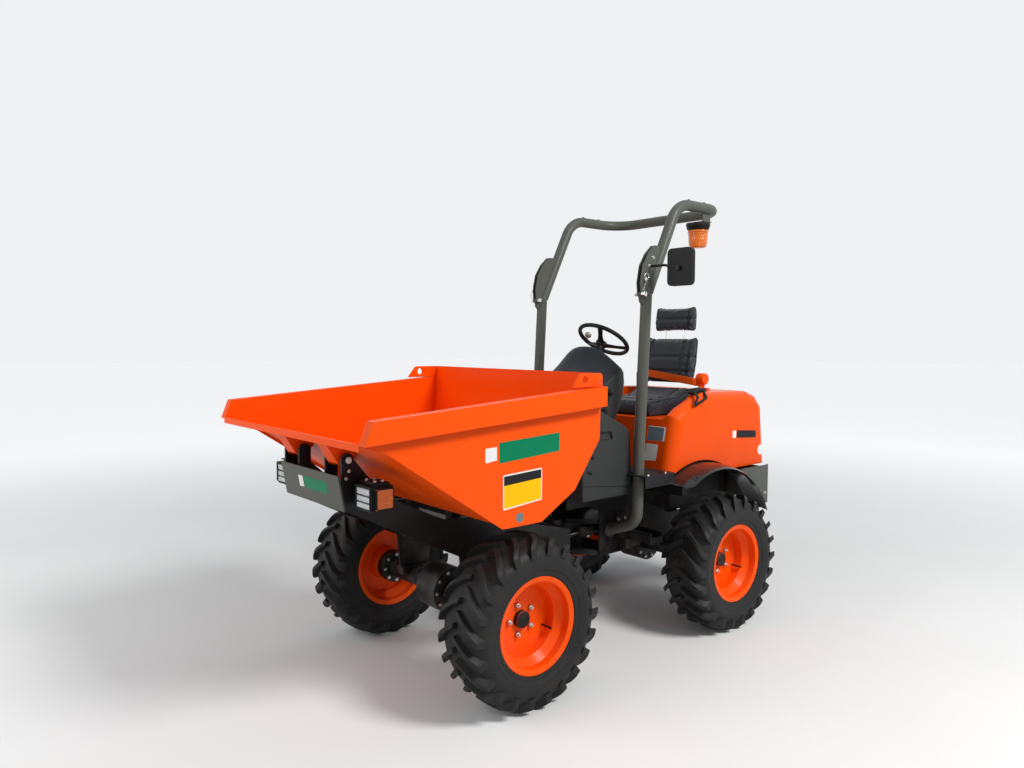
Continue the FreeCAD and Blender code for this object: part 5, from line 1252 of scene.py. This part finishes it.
KNOB = [(0.0, 0.007), (0.004, 0.012), (0.014, 0.0165), (0.026, 0.0170), (0.036, 0.0130), (0.041, 0.006)]
levers = [lever("lever", (MID - 0.085, y, TOP + 0.448), (MID - 0.135, y * 1.02, TOP + 0.585), KNOB)
          for y in (-0.300, -0.335)]
levers.append(lever("lever", (MID - 0.080, 0.305, TOP + 0.450), (MID - 0.120, 0.312, TOP + 0.560), KNOB))
dress(joined("levers", levers), "rear_frame", "black_plastic")
print("floor, steps, console and levers done")

# %% [markdown]
# ## Rear end
# The hood's rear breathes through a grille of slats, and the guard below carries the lamps in black
# frames.  Weld beads run where the chassis plates meet the tail.

# %% Grille, lamp frames and tail
HOOD_REAR = [(-0.680, 0.088), (-0.641, 0.4486)]


def rear_face(z):
    """Where the hood's rear face is at a height over the tyre tops."""
    (x0, z0), (x1, z1) = HOOD_REAR
    return REAR + x0 + (x1 - x0) * (z - z0) / (z1 - z0)


slats = [soften(prism("slat", [(rear_face(z) - 0.002, TOP + z), (rear_face(z) + 0.002, TOP + z),
                               (rear_face(z) + 0.002, TOP + z + 0.012), (rear_face(z) - 0.0085, TOP + z + 0.003)], "Y",
                      -0.210, 0.210), 0.001, 1) for z in [0.150 + 0.024 * k for k in range(9)]]
rim = [(rear_face(z) - 0.001, y, TOP + z) for y, z in ((-0.222, 0.138), (0.222, 0.138), (0.222, 0.372), (-0.222, 0.372))]
slats.append(frame_of_bars("grille_rim", rim, 0.006))
# Painted shade: a black sheet flush behind the slats stands for the dark space seen between them.
shade_sheet = [(rear_face(0.138) - 0.0006, TOP + 0.138), (rear_face(0.138) + 0.001, TOP + 0.138),
              (rear_face(0.372) + 0.001, TOP + 0.372), (rear_face(0.372) - 0.0006, TOP + 0.372)]
slats.append(prism("grille_back", shade_sheet, "Y", -0.220, 0.220))
dress(joined("rear_grille", slats), "hood", "black_plastic")
lamp_edges = [frame_of_bars("edge", [(-1.4905, side * y, z) for y, z in ((0.327, 0.687), (0.433, 0.687), (0.433, 0.753),
                                                                         (0.327, 0.753))], 0.0042)
              for side in (1, -1)]
dress(joined("rear_lamp_frames", lamp_edges), "rear_frame", "black_plastic")
bolts("tail_bolts", [(-1.4845, side * y, z, (-1, 0, 0)) for side in (1, -1) for y in (0.250, 0.300) for z in (0.640, 0.790)],
      "rear_frame", 1.1)
bolts("guard_bolts", [(x, side * 0.500, 0.665, (0, side, 0)) for side in (1, -1) for x in (-1.400, -1.330)],
      "rear_frame", 1.0)
print("rear end done")

# %% [markdown]
# ## Chassis fasteners and welds
# Axles hang on four big bolts a side, and a bead of weld runs where plates meet.  A bead is a row
# of small overlapping scales along a line.

# %% Axle bolts, differential bolts and weld beads
axle_bolts = {"rear": ("rear_frame", 0.206), "front": ("front_frame", 0.268)}
for end, (body, y) in axle_bolts.items():
    x = AXLES[end]
    places = [(x + dx, side * (y + dy), 0.4305 - 0.036, (0, 0, -1)) for dx in (-0.070, 0.070) for dy in (-0.022, 0.022)
              for side in (1, -1)]
    ring = [(x + 0.094 * math.cos(turn), side * 0.0772, TYRE_R + 0.094 * math.sin(turn), (0, side, 0))
            for turn in [math.pi * k / 5 for k in range(10)] for side in (1, -1)]
    hub = [(x + 0.068 * math.cos(turn), side * 0.4385, TYRE_R + 0.068 * math.sin(turn), (0, -side, 0))
           for turn in [math.pi * k / 4 for k in range(8)] for side in (1, -1)]
    bolts("axle_bolts_" + end, ring + hub, body, 1.0)


def scale_bead():
    """One scale of a weld bead."""
    points, faces = ring_stack([(0.0034, -0.0015), (0.0036, 0.0), (0.0026, 0.0016)], 8)
    made = mesh_object("scale", points, faces)
    made.data.transform(Matrix.Rotation(math.pi / 2, 4, "Y"))
    return made


scale = scale_bead()
for side, hand in ((1, "left"), (-1, "right")):
    y = side * (SKIP_Y + 0.0005)
    along_line("rail_weld_" + hand, [(0.2495, y, 1.2945), (1.370, y, 1.2195)], scale, 0.0030, 0.0, "skip",
               FINISHES["orange_paint"])
    along_line("lug_weld_" + hand, [(0.2475, side * 0.6723, 1.3870), (0.4300, side * 0.6723, 1.3870)], scale, 0.0030, 0.0,
               "skip", FINISHES["orange_paint"])
bpy.data.objects.remove(scale)

# %% [markdown]
# ## Lifting lugs
# A lug is cut from thick plate: its free corners are rounded, and it has one hole for the hook.

# %% Lifting lugs
LUG_FACE = [(0.2445, 0, 1.3863), (0.2445, 0, 1.4460), (0.3865, 0, 1.4460), (0.4345, 0, 1.3863)]
LUG_HOLE, LUG_HOLE_R, LUG_WALL = (0.3575, 1.4170), 0.018, 0.012
lugs = []
for side in (1, -1):
    y_in, y_out = sorted((side * SKIP_Y, side * (SKIP_Y + LUG_WALL)))
    lug = prism("lug", [(point.x, point.z) for point in rounded(LUG_FACE, 0.021, 8)], "Y", y_in, y_out)
    hook = bar("hook", [(LUG_HOLE[0], y_in - 0.02, LUG_HOLE[1]), (LUG_HOLE[0], y_out + 0.02, LUG_HOLE[1])], LUG_HOLE_R, 48)
    cut = lug.modifiers.new("Hole", "BOOLEAN")
    cut.object, cut.operation, cut.solver = hook, "DIFFERENCE", "EXACT"
    lugs.append(settle(lug))
    bpy.data.objects.remove(hook)
dress(soften(joined("lifting_lugs", lugs), 0.0012, 2, 50), "skip", "orange_paint", ["skip_lugs"])
print("lugs rounded")

# %% [markdown]
# ## Light and floor
# One large soft lamp stands where the sun did, on the driver's left, and the pale sky fills the
# rest.  The floor is pale too, takes the machine's shadow, and melts into the sky far away.

# %% Studio
def add_lamp(name, place, aim, size, power):
    lamp = bpy.data.lights.new(name, "AREA")
    lamp.shape, lamp.size, lamp.energy = "DISK", size, power
    holder = bpy.data.objects.new(name, lamp)
    holder.location = place
    holder.rotation_euler = (Vector(aim) - Vector(place)).to_track_quat("-Z", "Y").to_euler()
    SCENE.collection.objects.link(holder)


def add_world(seen, lit, strength):
    """A pale sky for the camera and for gloss, and a softer one for the light."""
    world = bpy.data.worlds.new("Sky")
    world.use_nodes = True
    SCENE.world = world
    tree = world.node_tree
    path = tree.nodes.new("ShaderNodeLightPath")
    sky, light = tree.nodes["Background"], tree.nodes.new("ShaderNodeBackground")
    sky.inputs["Color"].default_value = (*seen, 1)
    light.inputs["Color"].default_value = (*lit, 1)
    light.inputs["Strength"].default_value = strength
    choose = tree.nodes.new("ShaderNodeMixShader")
    shown = path.outputs["Is Camera Ray"]
    for kind in ("Is Transmission Ray", "Is Glossy Ray"):
        either = tree.nodes.new("ShaderNodeMath")
        either.operation = "MAXIMUM"
        tree.links.new(shown, either.inputs[0])
        tree.links.new(path.outputs[kind], either.inputs[1])
        shown = either.outputs[0]
    tree.links.new(shown, choose.inputs[0])
    tree.links.new(light.outputs[0], choose.inputs[1])
    tree.links.new(sky.outputs[0], choose.inputs[2])
    tree.links.new(choose.outputs[0], tree.nodes["World Output"].inputs[0])


add_lamp("SunLamp", (-1.2, 5.2, 5.6), (0, 0, 0.8), 2.2, 430)
add_lamp("FillLamp", (5.0, -1.5, 3.2), (0, 0, 0.8), 4.0, 120)
add_world((0.87, 0.88, 0.89), (0.84, 0.88, 0.93), 0.46)
reach = 60
floor = mesh_object("floor", [(-reach, -reach, 0), (reach, -reach, 0), (reach, reach, 0), (-reach, reach, 0)], [(0, 1, 2, 3)])
concrete = Finish("PaleFloor")
shade = concrete.blend(concrete.noise(1.2, 6), (0.74, 0.735, 0.72), (0.80, 0.795, 0.78))
concrete.relief(concrete.noise(160, 4), 0.0006)
away = concrete.number("ShaderNodeVectorMath", {"operation": "LENGTH"}, {0: concrete.place}, "Value")
camera, mirrored_ray, through = (concrete.number("ShaderNodeLightPath", output=kind) for kind in
                                 ("Is Camera Ray", "Is Glossy Ray", "Is Transmission Ray"))
shown = camera.sum("MAXIMUM", camera.sum("MAXIMUM", camera, mirrored_ray), through)
glow = concrete.blend(concrete.step(away, 1.6, 10.0) * shown, (0.0, 0.0, 0.0), (0.54, 0.545, 0.555))
floor.data.materials.append(concrete.set(Base_Color=shade, Roughness=0.8, Emission_Color=glow, Emission_Strength=1.0))
SCENE.view_settings.view_transform = "Standard"
bpy.data.objects.remove(HEX_HEAD)
